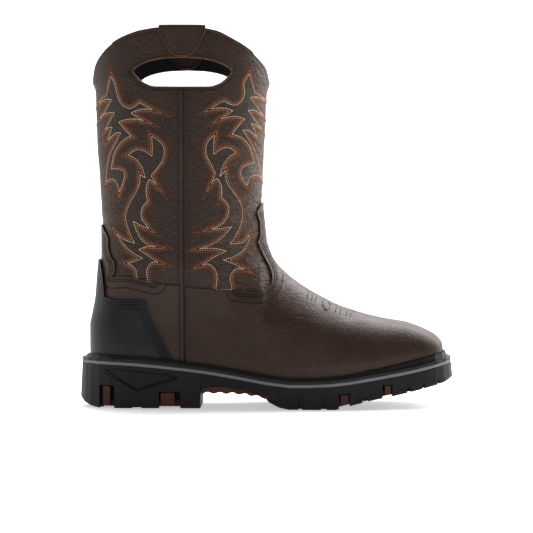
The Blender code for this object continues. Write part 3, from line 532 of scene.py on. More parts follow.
# Moulded carbon-black rubber: matt, with the faint spark-eroded grain of its mould, and sunk mould lines
# darkened with painted shade.
def rubber(name, colour, rough, rows=(), grooves=(), serrated=False):
    material, tree, shader = newMaterial(name)
    place = node(tree, "TexCoord").outputs["Object"]
    grain = node(tree, "TexNoise", {"Scale": 1 / (mould["grit"] * mm), "Detail": 2.0}, {"Vector": place})
    dust = node(tree, "TexNoise", {"Scale": 1 / (mould["dust"] * mm), "Detail": 4.0}, {"Vector": place})
    tone = node(tree, "Mix", {6: linear(colour[0]), 7: linear(colour[1])}, {0: dust.outputs["Fac"]},
                data_type="RGBA").outputs[2]
    bump = node(tree, "Bump", {"Strength": mould["gritBump"], "Distance": mould["gritDepth"] * mm},
                {"Height": grain.outputs["Fac"]}).outputs[0]
    sinks = [grooveShade(tree, place, line, width) for line, width in grooves]
    if rows:
        edge = node(tree, "Attribute", attribute_name="edge").outputs["Fac"]
        sinks.append(edgeRows(tree, edge, rows, mould["rowHalf"], 0.0, 1.0))
    if serrated:  # fine teeth up the spine behind the heel
        parts = node(tree, "SeparateXYZ", links={0: place}).outputs
        perLength = 2 * math.pi / (mould["tooth"] * mm)
        turns = node(tree, "Math", {1: perLength}, {0: parts["Z"]}, operation="MULTIPLY").outputs[0]
        wave = node(tree, "Math", {}, {0: turns}, operation="SINE").outputs[0]
        ranges = (("toothAt", wave), ("spineBehind", parts["X"]), ("spineAbove", parts["Z"]))
        teeth, behind, above = (
            node(tree, "MapRange", {1: mould[key][0], 2: mould[key][1], 3: 0.0, 4: 1.0},
                 {0: value}).outputs[0] for key, value in ranges)
        spine = node(tree, "Math", {}, {0: behind, 1: above}, operation="MULTIPLY").outputs[0]
        sinks.append(node(tree, "Math", {}, {0: spine, 1: teeth}, operation="MULTIPLY").outputs[0])
    # painted shade: each sunk line mixes the colour toward the mould's dark colour, besides sinking it by
    # bump
    for sink in sinks:
        dark = node(tree, "Math", {1: mould["shade"]}, {0: sink}, operation="MULTIPLY").outputs[0]
        tone = node(tree, "Mix", {7: linear(mould["dark"])}, {0: dark, 6: tone},
                    data_type="RGBA").outputs[2]
        bump = node(tree, "Bump", {"Strength": mould["bump"], "Distance": mould["depth"] * mm},
                    {"Height": sink, "Normal": bump}, invert=True).outputs[0]
    tree.links.new(tone, shader.inputs["Base Color"])
    tree.links.new(bump, shader.inputs["Normal"])
    shader.inputs["Roughness"].default_value = rough
    shader.inputs["Specular IOR Level"].default_value = mould["gloss"]
    return material


# Bonded polyester thread or brushed lining cloth: soft sheen over a fine twist, its pitch in mm.
def textile(name, colour, rough, pitch, sheen):
    material, tree, shader = newMaterial(name)
    place = node(tree, "TexCoord").outputs["Object"]
    twist = node(tree, "TexNoise", {"Scale": 1 / (pitch * mm), "Detail": 2.0}, {"Vector": place})
    twist = twist.outputs["Fac"]
    tone = node(tree, "Mix", {6: linear(colour[0]), 7: linear(colour[1])}, {0: twist}, data_type="RGBA")
    tree.links.new(tone.outputs[2], shader.inputs["Base Color"])
    bump = node(tree, "Bump", {"Strength": 0.4, "Distance": 0.2 * mm}, {"Height": twist})
    tree.links.new(bump.outputs[0], shader.inputs["Normal"])
    shader.inputs["Roughness"].default_value = rough
    shader.inputs["Sheen Weight"].default_value = sheen
    shader.inputs["Sheen Roughness"].default_value = 0.4
    return material


hide = {
    "dark": "#180f0b", "light": "#2d1e16", "pull": "#6e5140", "cut": "#6b4a34", "pebble": 2.1,
    "between": 0.50, "grain": 0.55, "fleck": 0.26, "fold": 0.6, "foldTint": 0.5,
    "foldScale": (1.0, 1.0, 3.6), "foldTurn": (0.0, 0.35, 0.0), "rows": (), "rowShade": 0.38,
    "rim": 0.45, "rough": 0.52, "gloss": 0.26,
}
shaftLeather = leather("oilTannedShaftLeather", {
    **hide, "rows": (2.4,), "grain": 0.8, "fold": 0.9, "foldTint": 0.45})
vampLeather = leather("oilTannedVampLeather", {
    **hide, "dark": "#190e09", "light": "#301e16", "rows": (1.5, 3.3, 8.2), "grain": 0.35, "between": 0.72,
    "fold": 0.25, "foldTint": 0.2, "rough": 0.50, "gloss": 0.24})
counterLeather = leather("oilTannedCounterLeather", {
    **hide, "dark": "#1d130e", "light": "#332319", "rows": (1.5, 3.3, 8.6), "grain": 0.35, "between": 0.72,
    "fold": 0.2})
tabLeather = leather("oilTannedTabLeather", {
    **hide, "dark": "#211610", "light": "#38281e", "rows": (1.4,), "grain": 0.30, "fold": 0.1, "rim": 0.65})
inlayLeather = leather("pebbledInlayLeather", {
    **hide, "dark": "#140d0b", "light": "#211714", "pull": "#6a564b", "pebble": 1.5, "grain": 0.95,
    "fleck": 0.34})
cutLeather = leather("rawCutLeatherEdge", {**hide, "dark": "#5a3d2a", "light": "#7a563c", "grain": 0.1})
# the photograph's camera: level with the middle of the boot, square to its outer side
photo = {
    "distance": 1.45, "height": 0.1146, "lens": 118.0, "sensor": 36.0, "middle": 266.5, "pixel": 0.83 * mm,
}


# where a pixel of the photograph meets the outer side of the sole, given its distance from the middle plane
def sideSpot(px, py, depth=0.048):
    scale = photo["pixel"] * (photo["distance"] - depth) / photo["distance"]
    return (px - photo["middle"]) * scale, photo["height"] + (photo["middle"] - py) * scale


# lines that soleRubber darkens with painted shade: the heel facet's V, the heel shelf's top line, the lug
# gaps
heelFacet = [sideSpot(*spot) for spot in ((103, 373), (136.4, 391), (177, 379))]
heelShelf = [sideSpot(*spot) for spot in ((103, 373), (110, 369.2), (165, 375), (177, 379))]
lugLines = [[sideSpot(px, 393), sideSpot(px + lean, 407.5)] for px, lean in (
    (297.5, 3), (303.5, 0), (320.5, 2), (325, 0), (357.6, 1), (371.5, -1), (404, 2), (414, 2), (428.6, 2))]
soleRubber = rubber("mouldedSoleRubber", ("#131314", "#1c1c1e"), 0.62, grooves=[
    (heelFacet, 1.0 * mm), (heelShelf, 0.6 * mm)] + [(line, 0.55 * mm) for line in lugLines])
weltRubber = rubber("mouldedWeltRubber", ("#151516", "#1e1e20"), 0.50)
# the guard's rows along its edge and the teeth up its spine are darkened with painted shade as well
guardRubber = rubber("mouldedGuardRubber", ("#121113", "#1b1a1d"), 0.50, rows=(1.4, 3.2, 5.0, 6.8),
                     serrated=True)
stripeRubber = rubber("compressedGreyMidsole", ("#6a676a", "#7a777a"), 0.70)
lugRubber = rubber("nitrileBrownRubber", ("#3f211a", "#543026"), 0.60)
liningCloth = textile("brushedNavyLining", ("#171520", "#221f2c"), 0.9, 0.6, 0.3)
print("materials ready")


def makeCamera():
    lens = bpy.data.cameras.new("camera")
    lens.lens = photo["lens"]
    lens.sensor_width = photo["sensor"]
    camera = bpy.data.objects.new("camera", lens)
    camera.location = (0, -photo["distance"], photo["height"])
    camera.rotation_euler = (math.pi / 2, 0, 0)
    bpy.context.scene.collection.objects.link(camera)
    bpy.context.scene.camera = camera


makeCamera()
print("camera ready")

vampEdge = table(
    "along up corner",
    (0.4880, 0.636, 0), (0.4700, 0.598, 1), (0.4790, 0.562, 0), (0.4800, 0.534, 0), (0.4730, 0.5055, 1),
    (0.4920, 0.459, 0), (0.5070, 0.428, 0), (0.5135, 0.400, 0), (0.5110, 0.3795, 0), (0.4960, 0.361, 0),
    (0.4680, 0.3515, 0), (0.4140, 0.356, 0),
)
counterEdge = table(
    "along up corner",
    (0.0223, 0.562, 0), (0.0330, 0.539, 0), (0.0440, 0.5145, 0), (0.0445, 0.4885, 0), (0.0520, 0.4625, 0),
    (0.0645, 0.4385, 0), (0.0645, 0.4195, 0), (0.0575, 0.396, 1), (0.0920, 0.399, 0), (0.1345, 0.3915, 0),
    (0.1820, 0.379, 0),
)
guardEdge = table(
    "along up corner",
    (0.0170, 0.4545, 0), (0.0260, 0.413, 0), (0.0310, 0.376, 0), (0.0345, 0.3370, 1), (0.0700, 0.3285, 0),
    (0.1370, 0.3285, 0), (0.1560, 0.3210, 1), (0.1635, 0.287, 0), (0.1960, 0.2205, 0), (0.2360, 0.134, 0),
)
holeEdge = table(
    "half up",
    (0.00, 0.000), (0.55, 0.015), (0.74, 0.115), (0.87, 0.270), (1.00, 0.560), (0.92, 0.700),
    (0.66, 0.880), (0.36, 0.970), (0.00, 1.000),
)
tabEdge = table(
    "half down",
    (0.98, -0.30), (0.97, 0.05), (0.86, 0.30), (0.62, 0.68), (0.42, 0.90), (0.22, 1.00),
)
layers = {
    "rows": 170, "lowRows": 24, "lowShare": 0.34, "roundSteps": 110, "liningRows": 90, "liningRound": 70,
    "skin": 1.2 * mm, "lining": 0.05 * mm, "holeRim": 0.2 * mm,
}


def cutBy(edge, closing):
    shut = [(xOf(a), u * boot["collarHeight"]) for a, u in closing]
    return np.concatenate([outlineOf(edge), np.array(shut)])


# closed pull-hole outline: half of it through the table by arc length, then mirrored
def holeOutline(grow=0.0, steps=60):
    half, up = holeEdge["half"] * boot["holeLength"] / 2, holeEdge["up"] * boot["holeHeight"]
    length = lengthOf(half, up)
    wanted = np.linspace(0, length[-1], steps)
    x, z = curve(length, half, wanted), curve(length, up, wanted)
    x, z = np.concatenate([x, -x[-2:0:-1]]), np.concatenate([z, z[-2:0:-1]])
    turnX, turnZ = np.roll(x, -1) - np.roll(x, 1), np.roll(z, -1) - np.roll(z, 1)
    size = np.hypot(turnX, turnZ)
    return np.stack([seamX + x + grow * turnZ / size, boot["holeBottom"] + z - grow * turnX / size], axis=1)


# point on the outer (-1) or inner (1) side at a lift from the leather, along the surface's own normal
def sidePoint(x, z, sign, lift, creased=1.0, step=0.2 * mm):
    side = "outer" if sign < 0 else "inner"
    y = halfWidth(x, z, side)
    slopeX = (halfWidth(x + step, z, side) - halfWidth(x - step, z, side)) / (2 * step)
    slopeZ = (halfWidth(x, z + step, side) - halfWidth(x, z - step, side)) / (2 * step)
    size = np.sqrt(1 + slopeX**2 + slopeZ**2)
    up = lift + relief(x, z) * creased
    moved = np.stack([x - slopeX * up / size, y + up / size, z - slopeZ * up / size], axis=-1)
    return moved * [1, sign, 1]


# keeps how far each vertex is from the cut edges, in mm, and how much the hide is folded there
def markEdges(piece, lines, limit=30.0):
    places = placesOf(piece)
    away = np.min([distanceTo(line, places[:, 0], places[:, 2]) for line in lines], axis=0) / mm
    keep(piece, "edge", np.minimum(away, limit))
    keep(piece, "worn", wornAt(places))


# where the hide is folded fine: shares along the foot and up the shaft, and how much
folded = {
    "ankleFrom": 0.30, "ankleSpan": 0.14, "upFrom": 0.33, "upSpan": 0.08, "upTo": 0.92, "upFade": 0.30,
    "ball": 0.56, "ballSpan": 0.10, "ballUp": 0.16, "ballFade": 0.12, "ballMost": 0.8, "least": 0.10,
    "heel": 0.02, "heelSpan": 0.06, "heelUp": 0.60, "heelFade": 0.10, "heelMost": 0.5,
}


# 0 to 1: high at the front of the ankle and over the instep, less at the back of the heel
def wornAt(places):
    up, along = places[:, 2] / boot["collarHeight"], alongOf(places[:, 0])
    ankle = smooth((along - folded["ankleFrom"]) / folded["ankleSpan"])
    ankle = ankle * smooth((up - folded["upFrom"]) / folded["upSpan"])
    ankle = ankle * smooth((folded["upTo"] - up) / folded["upFade"])
    ball = np.exp(-(((along - folded["ball"]) / folded["ballSpan"]) ** 2))
    ball = ball * smooth((up - folded["ballUp"]) / folded["ballFade"]) * folded["ballMost"]
    heel = np.exp(-(((along - folded["heel"]) / folded["heelSpan"]) ** 2))
    heel = heel * np.exp(-(((up - folded["heelUp"]) / folded["heelFade"]) ** 2)) * folded["heelMost"]
    return np.clip(folded["least"] + ankle + ball + heel, 0, 1)


collarShare = np.linspace(0.002, 0.998, 240)
atCollar = np.array([boot["collarHeight"]])
collarRim = boot["collarHeight"] + boot["collarRise"] * curve(collar["share"], collar["rise"], collarShare)
collarLine = np.stack([mix(backX(atCollar)[0], frontX(atCollar)[0], collarShare), collarRim], axis=1)


def makeShaft():
    low, lowRows = layers["lowShare"], layers["lowRows"]
    lowPart, rest = np.linspace(0, low, lowRows)[:-1], np.linspace(low, 1, layers["rows"] - lowRows)
    shares = np.concatenate([lowPart, rest])
    shaft = leatherShell("shaft", 0, -layers["skin"], shares, layers["roundSteps"])
    combine(shaft, prism(holeOutline()), "DIFFERENCE")
    markEdges(shaft, [collarLine, holeOutline()])
    dress(shaft, shaftLeather, ["upper"])
    lining = leatherShell("shaftLining", -layers["skin"] - layers["lining"], -boot["wall"],
                          np.linspace(0, 1, layers["liningRows"]), layers["liningRound"])
    combine(lining, prism(holeOutline(-layers["holeRim"])), "DIFFERENCE")
    dress(lining, liningCloth)


# name, material, slot, node, edge line, share of the height and rows of the shell it is cut from
overlays = {
    "vamp": ("vampLeather", vampLeather, "foot_leather", "vamp", vampEdge, 0.86, 170),
    "counter": ("counterLeather", counterLeather, "foot_leather", "counter", counterEdge, 0.78, 130),
    "guard": ("heelGuardRubber", guardRubber, "black_rubber", "heel_guard", guardEdge, 0.70, 130),
    "under": -0.1, "ahead": 1.2, "behind": -0.2, "vampTop": 0.366, "counterTop": 0.371,
}


# closing: where the edge line's ends are joined, outside the overlay, as shares along and up
def makeOverlay(which, inner, outer, closing):
    name, material, slot, stands, edge, span, rows = overlays[which]
    piece = leatherShell(name, outer, inner, np.linspace(0, span, rows), layers["roundSteps"])
    combine(piece, prism(cutBy(edge, closing)), "INTERSECT")
    markEdges(piece, [outlineOf(edge)])
    dress(piece, material, [stands])


def makeOverlays():
    under, ahead, behind = overlays["under"], overlays["ahead"], overlays["behind"]
    half = boot["seamWidth"] / 2 + boot["gap"]
    vampStart, counterEnd = alongOf(seamX + half), alongOf(seamX - half)
    lift = boot["gap"] + boot["overlay"]
    makeOverlay("vamp", boot["gap"], lift, [
        (vampStart, overlays["vampTop"]), (vampStart, under), (ahead, under), (ahead, vampEdge["up"][0])])
    makeOverlay("counter", boot["gap"], lift, [
        (counterEnd, overlays["counterTop"]), (counterEnd, under), (behind, under),
        (behind, counterEdge["up"][0])])
    low = lift + boot["gap"]
    makeOverlay("guard", low, low + boot["guard"], [
        (guardEdge["along"][-1], under), (behind, under), (behind, guardEdge["up"][0])])


seamSection = table(  # across the strip: place in half widths, height in seam heights
    "across lift",
    (-1.0, 0.3), (-0.96, 0.75), (-0.8, 1.15), (-0.5, 1.25), (-0.2, 1.25), (0.1, 1.15), (0.28, 0.65),
    (0.40, 0.42), (0.52, 0.75), (0.72, 1.15), (0.92, 0.8), (1.0, 0.3), (1.0, 0.02), (0.0, 0.02),
    (-1.0, 0.02),
)
seam = {"steps": 260, "below": 2.5 * mm, "edgeFrom": 3, "edgeSpan": 6}


# raised seam: a ridge and a welted groove across x, carried down the side
def makeSideSeam(name, sign, stands):
    across, lift = seamSection["across"], seamSection["lift"]
    low = featherZ(np.array([seamX]))[0]
    z = np.linspace(low, boot["holeBottom"] - seam["below"], seam["steps"])[:, None] + 0 * across
    x = seamX + boot["seamWidth"] / 2 * across + 0 * z
    rings = sidePoint(x, z, sign, boot["gap"] + lift * boot["seam"] + 0 * z)
    count = len(across)
    caps = np.arange(count) + np.array([[0], [(len(rings) - 1) * count]])
    strip = faceOut(addMesh(name, rings, gridFaces(len(rings), count).tolist() + caps.tolist()))
    keep(strip, "edge", np.tile(seam["edgeFrom"] + seam["edgeSpan"] * np.abs(across), len(rings)))
    dress(strip, tabLeather, [stands])


tab = {"columns": 45, "turns": 19, "drops": 30, "outline": 40, "past": 2 * mm}


# pull tab: a flat strap folded over the collar, trimmed to a shield's outline
def makeTab(name, sign, stands):
    columns = np.linspace(seamX - boot["tabWidth"] / 2, seamX + boot["tabWidth"] / 2, tab["columns"])
    middle, reach = -boot["wall"] / 2, boot["wall"] / 2 + boot["gap"]
    turn = np.linspace(0, math.pi, tab["turns"])
    drops = np.linspace(boot["tabDrop"] + tab["past"], 0, tab["drops"])[:-1]
    loops = []
    for radius, order in ((reach + boot["tab"], 1), (reach, -1)):
        leaf = np.stack([np.full(len(drops), middle + radius), -drops], axis=1)
        bend = np.stack([middle + radius * np.cos(turn), boot["gap"] + radius * np.sin(turn)], axis=1)
        other = np.stack([np.full(len(drops), middle - radius), -drops[::-1]], axis=1)
        loops.append(np.concatenate([leaf, bend, other])[::order])
    section = np.concatenate(loops)
    x = columns[:, None] + 0 * section[:, 0]
    rings = sidePoint(x, collarTop + section[:, 1] + 0 * x, sign, section[:, 0] + 0 * x, 0)
    count = len(section)
    faces = gridFaces(len(rings), count).tolist()
    k = np.arange(count // 2 - 1)
    for start in (0, (len(rings) - 1) * count):
        faces += (np.stack([k, k + 1, count - 2 - k, count - 1 - k], axis=-1) + start).tolist()
    piece = faceOut(addMesh(name, rings, faces))
    length = lengthOf(tabEdge["half"], tabEdge["down"])
    wanted = np.linspace(0, length[-1], tab["outline"])
    half = curve(length, tabEdge["half"], wanted) * boot["tabWidth"] / 2
    down = collarTop - curve(length, tabEdge["down"], wanted) * boot["tabDrop"]
    right, left = (np.stack([seamX + sign * half, down], axis=1) for sign in (1, -1))
    line = np.concatenate([right, left[::-1]])
    combine(piece, prism(line), "INTERSECT")
    markEdges(piece, [line[1:-1]])
    dress(piece, tabLeather, [stands])


makeShaft()
print("shaft and lining ready")
makeOverlays()
print("vamp, counter and heel guard ready")
makeSideSeam("outerSideSeam", -1, "side_seam_lateral")
makeSideSeam("innerSideSeam", 1, "side_seam_medial")
makeTab("outerPullTab", -1, "pull_tab_lateral")
makeTab("innerPullTab", 1, "pull_tab_medial")
print("side seams and pull tabs ready")


# lines charted on the photograph, in its own pixels
def strokes(text):
    parts = [part.split() for part in text.split("/")]
    return [np.array([[float(v) for v in spot.split(",")] for spot in part]) for part in parts]


# Flame embroidery, charted in the same way. Each figure is a closed chain of strokes: a stroke is a smooth
# line that starts at the sharp point where the one before it ends.
def figure(text):
    parts = strokes(text)
    return [np.concatenate([before[-1:], part]) for before, part in zip(parts[-1:] + parts[:-1], parts)]


frontUpper = figure(
    "246,79 243.6,84.5 244.6,93 242.5,99.5 238,104 233.6,105.1 228.5,103.6 224.4,100.9 / 217,104.3 "
    "211,108.9 / 219,107.9 226.5,108.4 232.8,110.8 / 227,114.5 220.9,118.9 / 229,116.8 237.5,116.6 "
    "244.7,119.2 / 238,126.3 232,134.2 / 238.5,136.2 245,140.3 250,147.5 252.6,155 253.6,163.2 / "
    "243.5,166.3 240.4,173 242.3,179 247,185.5 / 250.2,177.3 257.5,175 261.2,177.8 / 259.5,167 255.5,153 "
    "249.5,141 242.7,130.3 / 249,130.6 256.8,137.5 / 254.4,131 251.3,123.5 / 256,125.2 261.1,128.8 / "
    "254.4,119.5 248.1,110.4 / 255,110.6 263.2,115.8 / 256.5,106.5 250.4,97.4 / 257,97 264.9,100.1 / "
    "259.5,95 254.6,92.5 / 252.5,85 249.2,73.7")
frontLower = figure(
    "209.5,139.5 206,146.5 206.6,155.5 210.5,163.5 215.4,173 / 213.5,178 211.3,183.5 / 214,180 217,178.3 "
    "/ 220.5,183 221.6,190 221.2,197.8 / 226.5,202.5 228.8,209 226.5,218 220.5,225 211.5,229 / 221,228.6 "
    "231.5,226.6 / 222,237.5 211,245 199.3,248.8 / 213,248.3 226.4,250.9 / 213.5,257.5 202.2,264.8 / "
    "208.5,264 214.5,268.5 217.2,276.5 215.8,289.5 / 232.3,289.5 / 230,279 233,271.3 238.5,268.3 "
    "244.5,269.5 / 234,264 223,259.9 / 233,257 243,250.5 248.3,242 249.4,234.4 / 244,241.5 238,243.5 "
    "230.2,243.9 / 236,235 241,224 242.6,212 239.5,201 232,190.5 226.5,181.5 225.2,170.5 / 219.9,176.5 / "
    "222.8,166.3 229,157 235.9,152.5 / 231,148.6 225.5,147.6 219.5,150 213.7,154.3 / 213.6,145 214.6,135")
rearUpper = figure(
    "114.8,84.5 117.5,95 120.3,102.5 124.8,106.8 130,108.6 135.5,106 139.3,102.8 / 146,106 152.5,109.8 / "
    "145,108.9 137,110.3 131.3,113.1 / 137,117 143.3,120.6 / 135,119 126.5,119.6 118.9,122 / 124.5,129 "
    "131.5,136.2 / 126,138.3 119,145 114,154.5 111.3,168.8 / 118,168.9 123.8,171 124.6,177 122.6,184 "
    "119.6,192 / 118,185 114.8,180 110.8,179 106,182 / 108,163.2 111,152.5 116.4,141.8 120.8,132.6 / "
    "115,133.6 108,140.5 / 110.5,133 112.2,127.2 / 108,127.8 105.2,130.3 / 109,123 114.5,112.7 / "
    "108,112.8 103.5,114.8 100.4,118 / 105.5,111.2 111.4,99.7 / 105.5,99.3 98.9,103 / 101.8,98.5 "
    "106.8,95.3 / 108.4,87 111.2,76")
rearLower = figure(
    "158,140 163,145.5 164.4,152 162.5,160.5 157,168.5 151.2,175.8 / 154,180.5 156.6,185 / 153,181.5 "
    "149.4,179.5 / 146.8,184 146.2,192 147.8,201.7 / 143.2,206 141.2,213 142,219 148.8,228.6 / 141,225.5 "
    "133.2,221.2 / 136.8,231.2 141.5,239.5 148,244.8 156.2,246.8 / 147.5,246.6 138.8,249.5 / 148,255.5 "
    "158.2,262.2 / 152,262.3 147.5,268 146.7,274 148.2,283 / 137.8,282 / 136,270.5 132.2,266 127.6,263.3 "
    "/ 135,261 142.6,258.3 / 133,252.7 125,245.7 120,239 116.9,233.6 / 123.4,239 134.5,243.2 / 130,233 "
    "126,221 126.5,211.5 131.5,200 137,190.8 139.6,182.5 140.3,174.5 / 145.3,178 / 142.2,167.5 136,159.2 "
    "128.4,155 / 134,150.8 139.3,149.5 146,152 152.1,156 / 152.4,146 151.6,136.5")


# Catmull-Rom line through a stroke's points
def smoothLine(points, steps=6):
    if len(points) == 2:
        return np.stack([np.linspace(a, b, steps + 1) for a, b in zip(*points)], axis=1)
    p = np.concatenate([[2 * points[0] - points[1]], points, [2 * points[-1] - points[-2]]])
    t = (np.arange(steps) / steps)[None, :, None]
    a, b, c, d = (p[i:len(p) - 3 + i, None] for i in range(4))
    line = 0.5 * (2 * b + (c - a) * t + (2 * a - 5 * b + 4 * c - d) * t**2 + (3 * b - a - 3 * c + d) * t**3)
    return np.concatenate([line.reshape(-1, 2), points[-1:]])


aim = {"firstUp": 0.2, "rounds": 6, "margin": 0.6 * mm}


# where a pixel of the photograph meets the boot's outer side: perspective, with the side's own depth
def fromPhoto(spots):
    x, z = np.zeros(len(spots)), np.full(len(spots), aim["firstUp"])
    for _ in range(aim["rounds"]):
        depth = halfWidth(x, z, "outer")
        scale = photo["pixel"] * (photo["distance"] - depth) / photo["distance"]
        x = (spots[:, 0] - photo["middle"]) * scale
        z = photo["height"] + (photo["middle"] - spots[:, 1]) * scale
        x = np.clip(x, backX(z) + aim["margin"], frontX(z) - aim["margin"])
    return np.stack([x, z], axis=1)


# the shaft laid flat: arc length from the side seam at each height, both ways
flat = {
    "low": 0.084, "high": 0.300, "levels": 180, "turns": 240, "reach": 0.110, "across": 600,
    "margin": 2 * mm,
}
flatZ = np.linspace(flat["low"], flat["high"], flat["levels"])
turnShare = (1 - np.cos(np.linspace(0.0, math.pi, flat["turns"]))) / 2
flatX = mix(backX(flatZ)[:, None], frontX(flatZ)[:, None], turnShare)
flatY = halfWidth(flatX, flatZ[:, None] + 0 * flatX, "outer")
flatY[:, [0, -1]] = 0
arc = np.cumsum(np.hypot(np.diff(flatX, axis=1), np.diff(flatY, axis=1)), axis=1)
arc = np.concatenate([np.zeros((len(flatZ), 1)), arc], axis=1)
atSeam = np.array([np.interp(seamX, xs, row) for xs, row in zip(flatX, arc)])
arc -= atSeam[:, None]
reachLine = np.linspace(-flat["reach"], flat["reach"], flat["across"])
unrolled = np.array([np.interp(reachLine, row, xs) for row, xs in zip(arc, flatX)])


def bilinear(grid, u, v):
    u, v = np.clip(u, 0, grid.shape[0] - 1.001), np.clip(v, 0, grid.shape[1] - 1.001)
    i, j = u.astype(int), v.astype(int)
    fu, fv = u - i, v - j
    low = mix(grid[i, j], grid[i, j + 1], fv)
    return mix(low, mix(grid[i + 1, j], grid[i + 1, j + 1], fv), fu)


def levelOf(z):
    return (z - flat["low"]) / (flat["high"] - flat["low"]) * (flat["levels"] - 1)


def toFlat(spots):
    x, z = spots.T
    share = (x - backX(z)) / (frontX(z) - backX(z))
    turn = np.arccos(np.clip(1 - 2 * share, -1, 1)) / math.pi * (flat["turns"] - 1)
    return np.stack([bilinear(arc, levelOf(z), turn), z], axis=1)


def fromFlat(spots):
    s, z = spots.T
    across = (s + flat["reach"]) / (2 * flat["reach"]) * (len(reachLine) - 1)
    return np.stack([bilinear(unrolled, levelOf(z), across), z], axis=1)


# a line moved sideways by the given distance with mitred corners; what comes too near the line is dropped
def offsetLine(line, distance, closed=False, mitre=5.0, near=0.96):
    before = line - np.roll(line, 1, axis=0)
    after = np.roll(line, -1, axis=0) - line
    if not closed:
        before[0], after[-1] = after[0], before[-1]
    normals = []
    for step in (before, after):
        step = step / np.maximum(np.linalg.norm(step, axis=1, keepdims=True), 1e-12)
        normals.append(np.stack([step[:, 1], -step[:, 0]], axis=1))
    middle = normals[0] + normals[1]
    middle /= np.maximum(np.linalg.norm(middle, axis=1, keepdims=True), 1e-6)
    stretch = np.maximum((middle * normals[0]).sum(axis=1, keepdims=True), 1 / mitre)
    moved = line + middle * distance / stretch
    whole = np.concatenate([line, line[:1]]) if closed else line
    clear = distanceTo(whole, moved[:, 0], moved[:, 1]) > abs(distance) * near
    return moved[clear]


# splits a line at its sharp corners and spaces stitch ends evenly along each part; returns (starts, ends)
def stitchEnds(line, pitch, closed=False, corner=35, least=0.02 * mm):
    if closed:
        line = np.concatenate([line, line[:1]])
    step = np.diff(line, axis=0)
    line = line[np.concatenate([[True], np.linalg.norm(step, axis=1) > least])]
    step = np.diff(line, axis=0)
    angle = np.arctan2(step[:, 1], step[:, 0])
    turn = np.abs((np.diff(angle) + math.pi) % (2 * math.pi) - math.pi)
    cuts = [0] + (np.nonzero(turn > math.radians(corner))[0] + 1).tolist() + [len(line) - 1]
    starts, ends = [], []
    for a, b in zip(cuts[:-1], cuts[1:]):
        part = line[a:b + 1]
        length = np.concatenate([[0], np.cumsum(np.linalg.norm(np.diff(part, axis=0), axis=1))])
        count = max(int(round(length[-1] / pitch)), 1)
        wanted = np.linspace(0, length[-1], count + 1)
        spots = np.stack([np.interp(wanted, length, column) for column in part.T], axis=1)
        starts.append(spots[:-1])
        ends.append(spots[1:])
    return np.concatenate(starts), np.concatenate(ends)


capsule = table(  # along a stitch: share of its length, ring size and rise in thread radii
    "place size rise",
    (0.0, 0.35, -0.75), (0.22, 0.92, 0.05), (0.5, 1.0, 0.2), (0.78, 0.92, 0.05), (1.0, 0.35, -0.75),
)


# one low thread capsule for each pair of ends: rings of a circle along the chord, sunk at both ends
def threadMesh(name, tails, heads, outs, radius, fill, sides):
    along = heads - tails
    size = np.linalg.norm(along, axis=1, keepdims=True)
    along = along / np.maximum(size, 1e-9)
    outs = outs - along * (outs * along).sum(axis=1, keepdims=True)
    outs /= np.maximum(np.linalg.norm(outs, axis=1, keepdims=True), 1e-9)
    across = np.cross(along, outs)
    places, sizes, rise = capsule.values()
    angle = np.arange(sides) / sides * 2 * math.pi
    centre = (tails + heads)[:, None] / 2 + along[:, None] * size[:, None] * fill * (places - 0.5)[:, None]
    centre = centre + outs[:, None] * (rise * radius)[:, None]
    ring = across[:, None, None] * np.cos(angle)[:, None] + outs[:, None, None] * np.sin(angle)[:, None]
    verts = centre[:, :, None] + ring * (sizes * radius)[:, None, None]
    count = len(places) * sides
    unit = gridFaces(len(places), sides)
    start = np.arange(len(tails))[:, None, None] * count
    faces = (unit[None] + start).reshape(-1, 4).tolist()
    caps = np.stack([np.arange(sides)[::-1], np.arange(sides) + count - sides])
    faces += (caps[None] + start).reshape(-1, sides).tolist()
    return faceOut(addMesh(name, verts, faces))


# stitches on a side of the boot, their ends given as (x, z): returns tails, heads and outward directions
def onSide(starts, ends, sign, lift):
    tails = sidePoint(starts[:, 0], starts[:, 1], sign, lift)
    heads = sidePoint(ends[:, 0], ends[:, 1], sign, lift)
    x, z = (starts + ends).T / 2
    return tails, heads, sidePoint(x, z, sign, lift + mm) - sidePoint(x, z, sign, lift)


thread = {
    "radius": 0.38 * mm, "pitch": 1.9 * mm, "fill": 0.80, "sides": 5, "rows": (0.0, 1.55 * mm, 3.0 * mm),
    "inlay": 0.12 * mm, "inlayUnder": -0.3 * mm, "inlayFrom": 0.3, "inlayRows": 120, "inlayRound": 90,
}
creamThread = textile("creamPolyesterThread", ("#c0a184", "#ecd3b4"), 0.55, 0.3, 0.2)
orangeThread = textile("burntOrangeThread", ("#9c5522", "#cc8040"), 0.55, 0.3, 0.2)
rustThread = textile("rustThread", ("#5f2f18", "#8a4a24"), 0.60, 0.3, 0.2)
brownThread = textile("darkBrownThread", ("#0f0a09", "#1c1412"), 0.60, 0.3, 0.1)
tanThread = textile("chestnutThread", ("#4e3229", "#6d4a3d"), 0.60, 0.3, 0.1)


# one piece of all the stitches of a thread
def sewAll(name, parts, material, radius):
    tails, heads, outs = (np.concatenate(part) for part in zip(*parts))
    threads = threadMesh(name, tails, heads, outs, radius, thread["fill"], thread["sides"])
    dress(threads, material)


def area(loop):
    x, z = loop.T
    return (x * np.roll(z, -1) - np.roll(x, -1) * z).sum() / 2


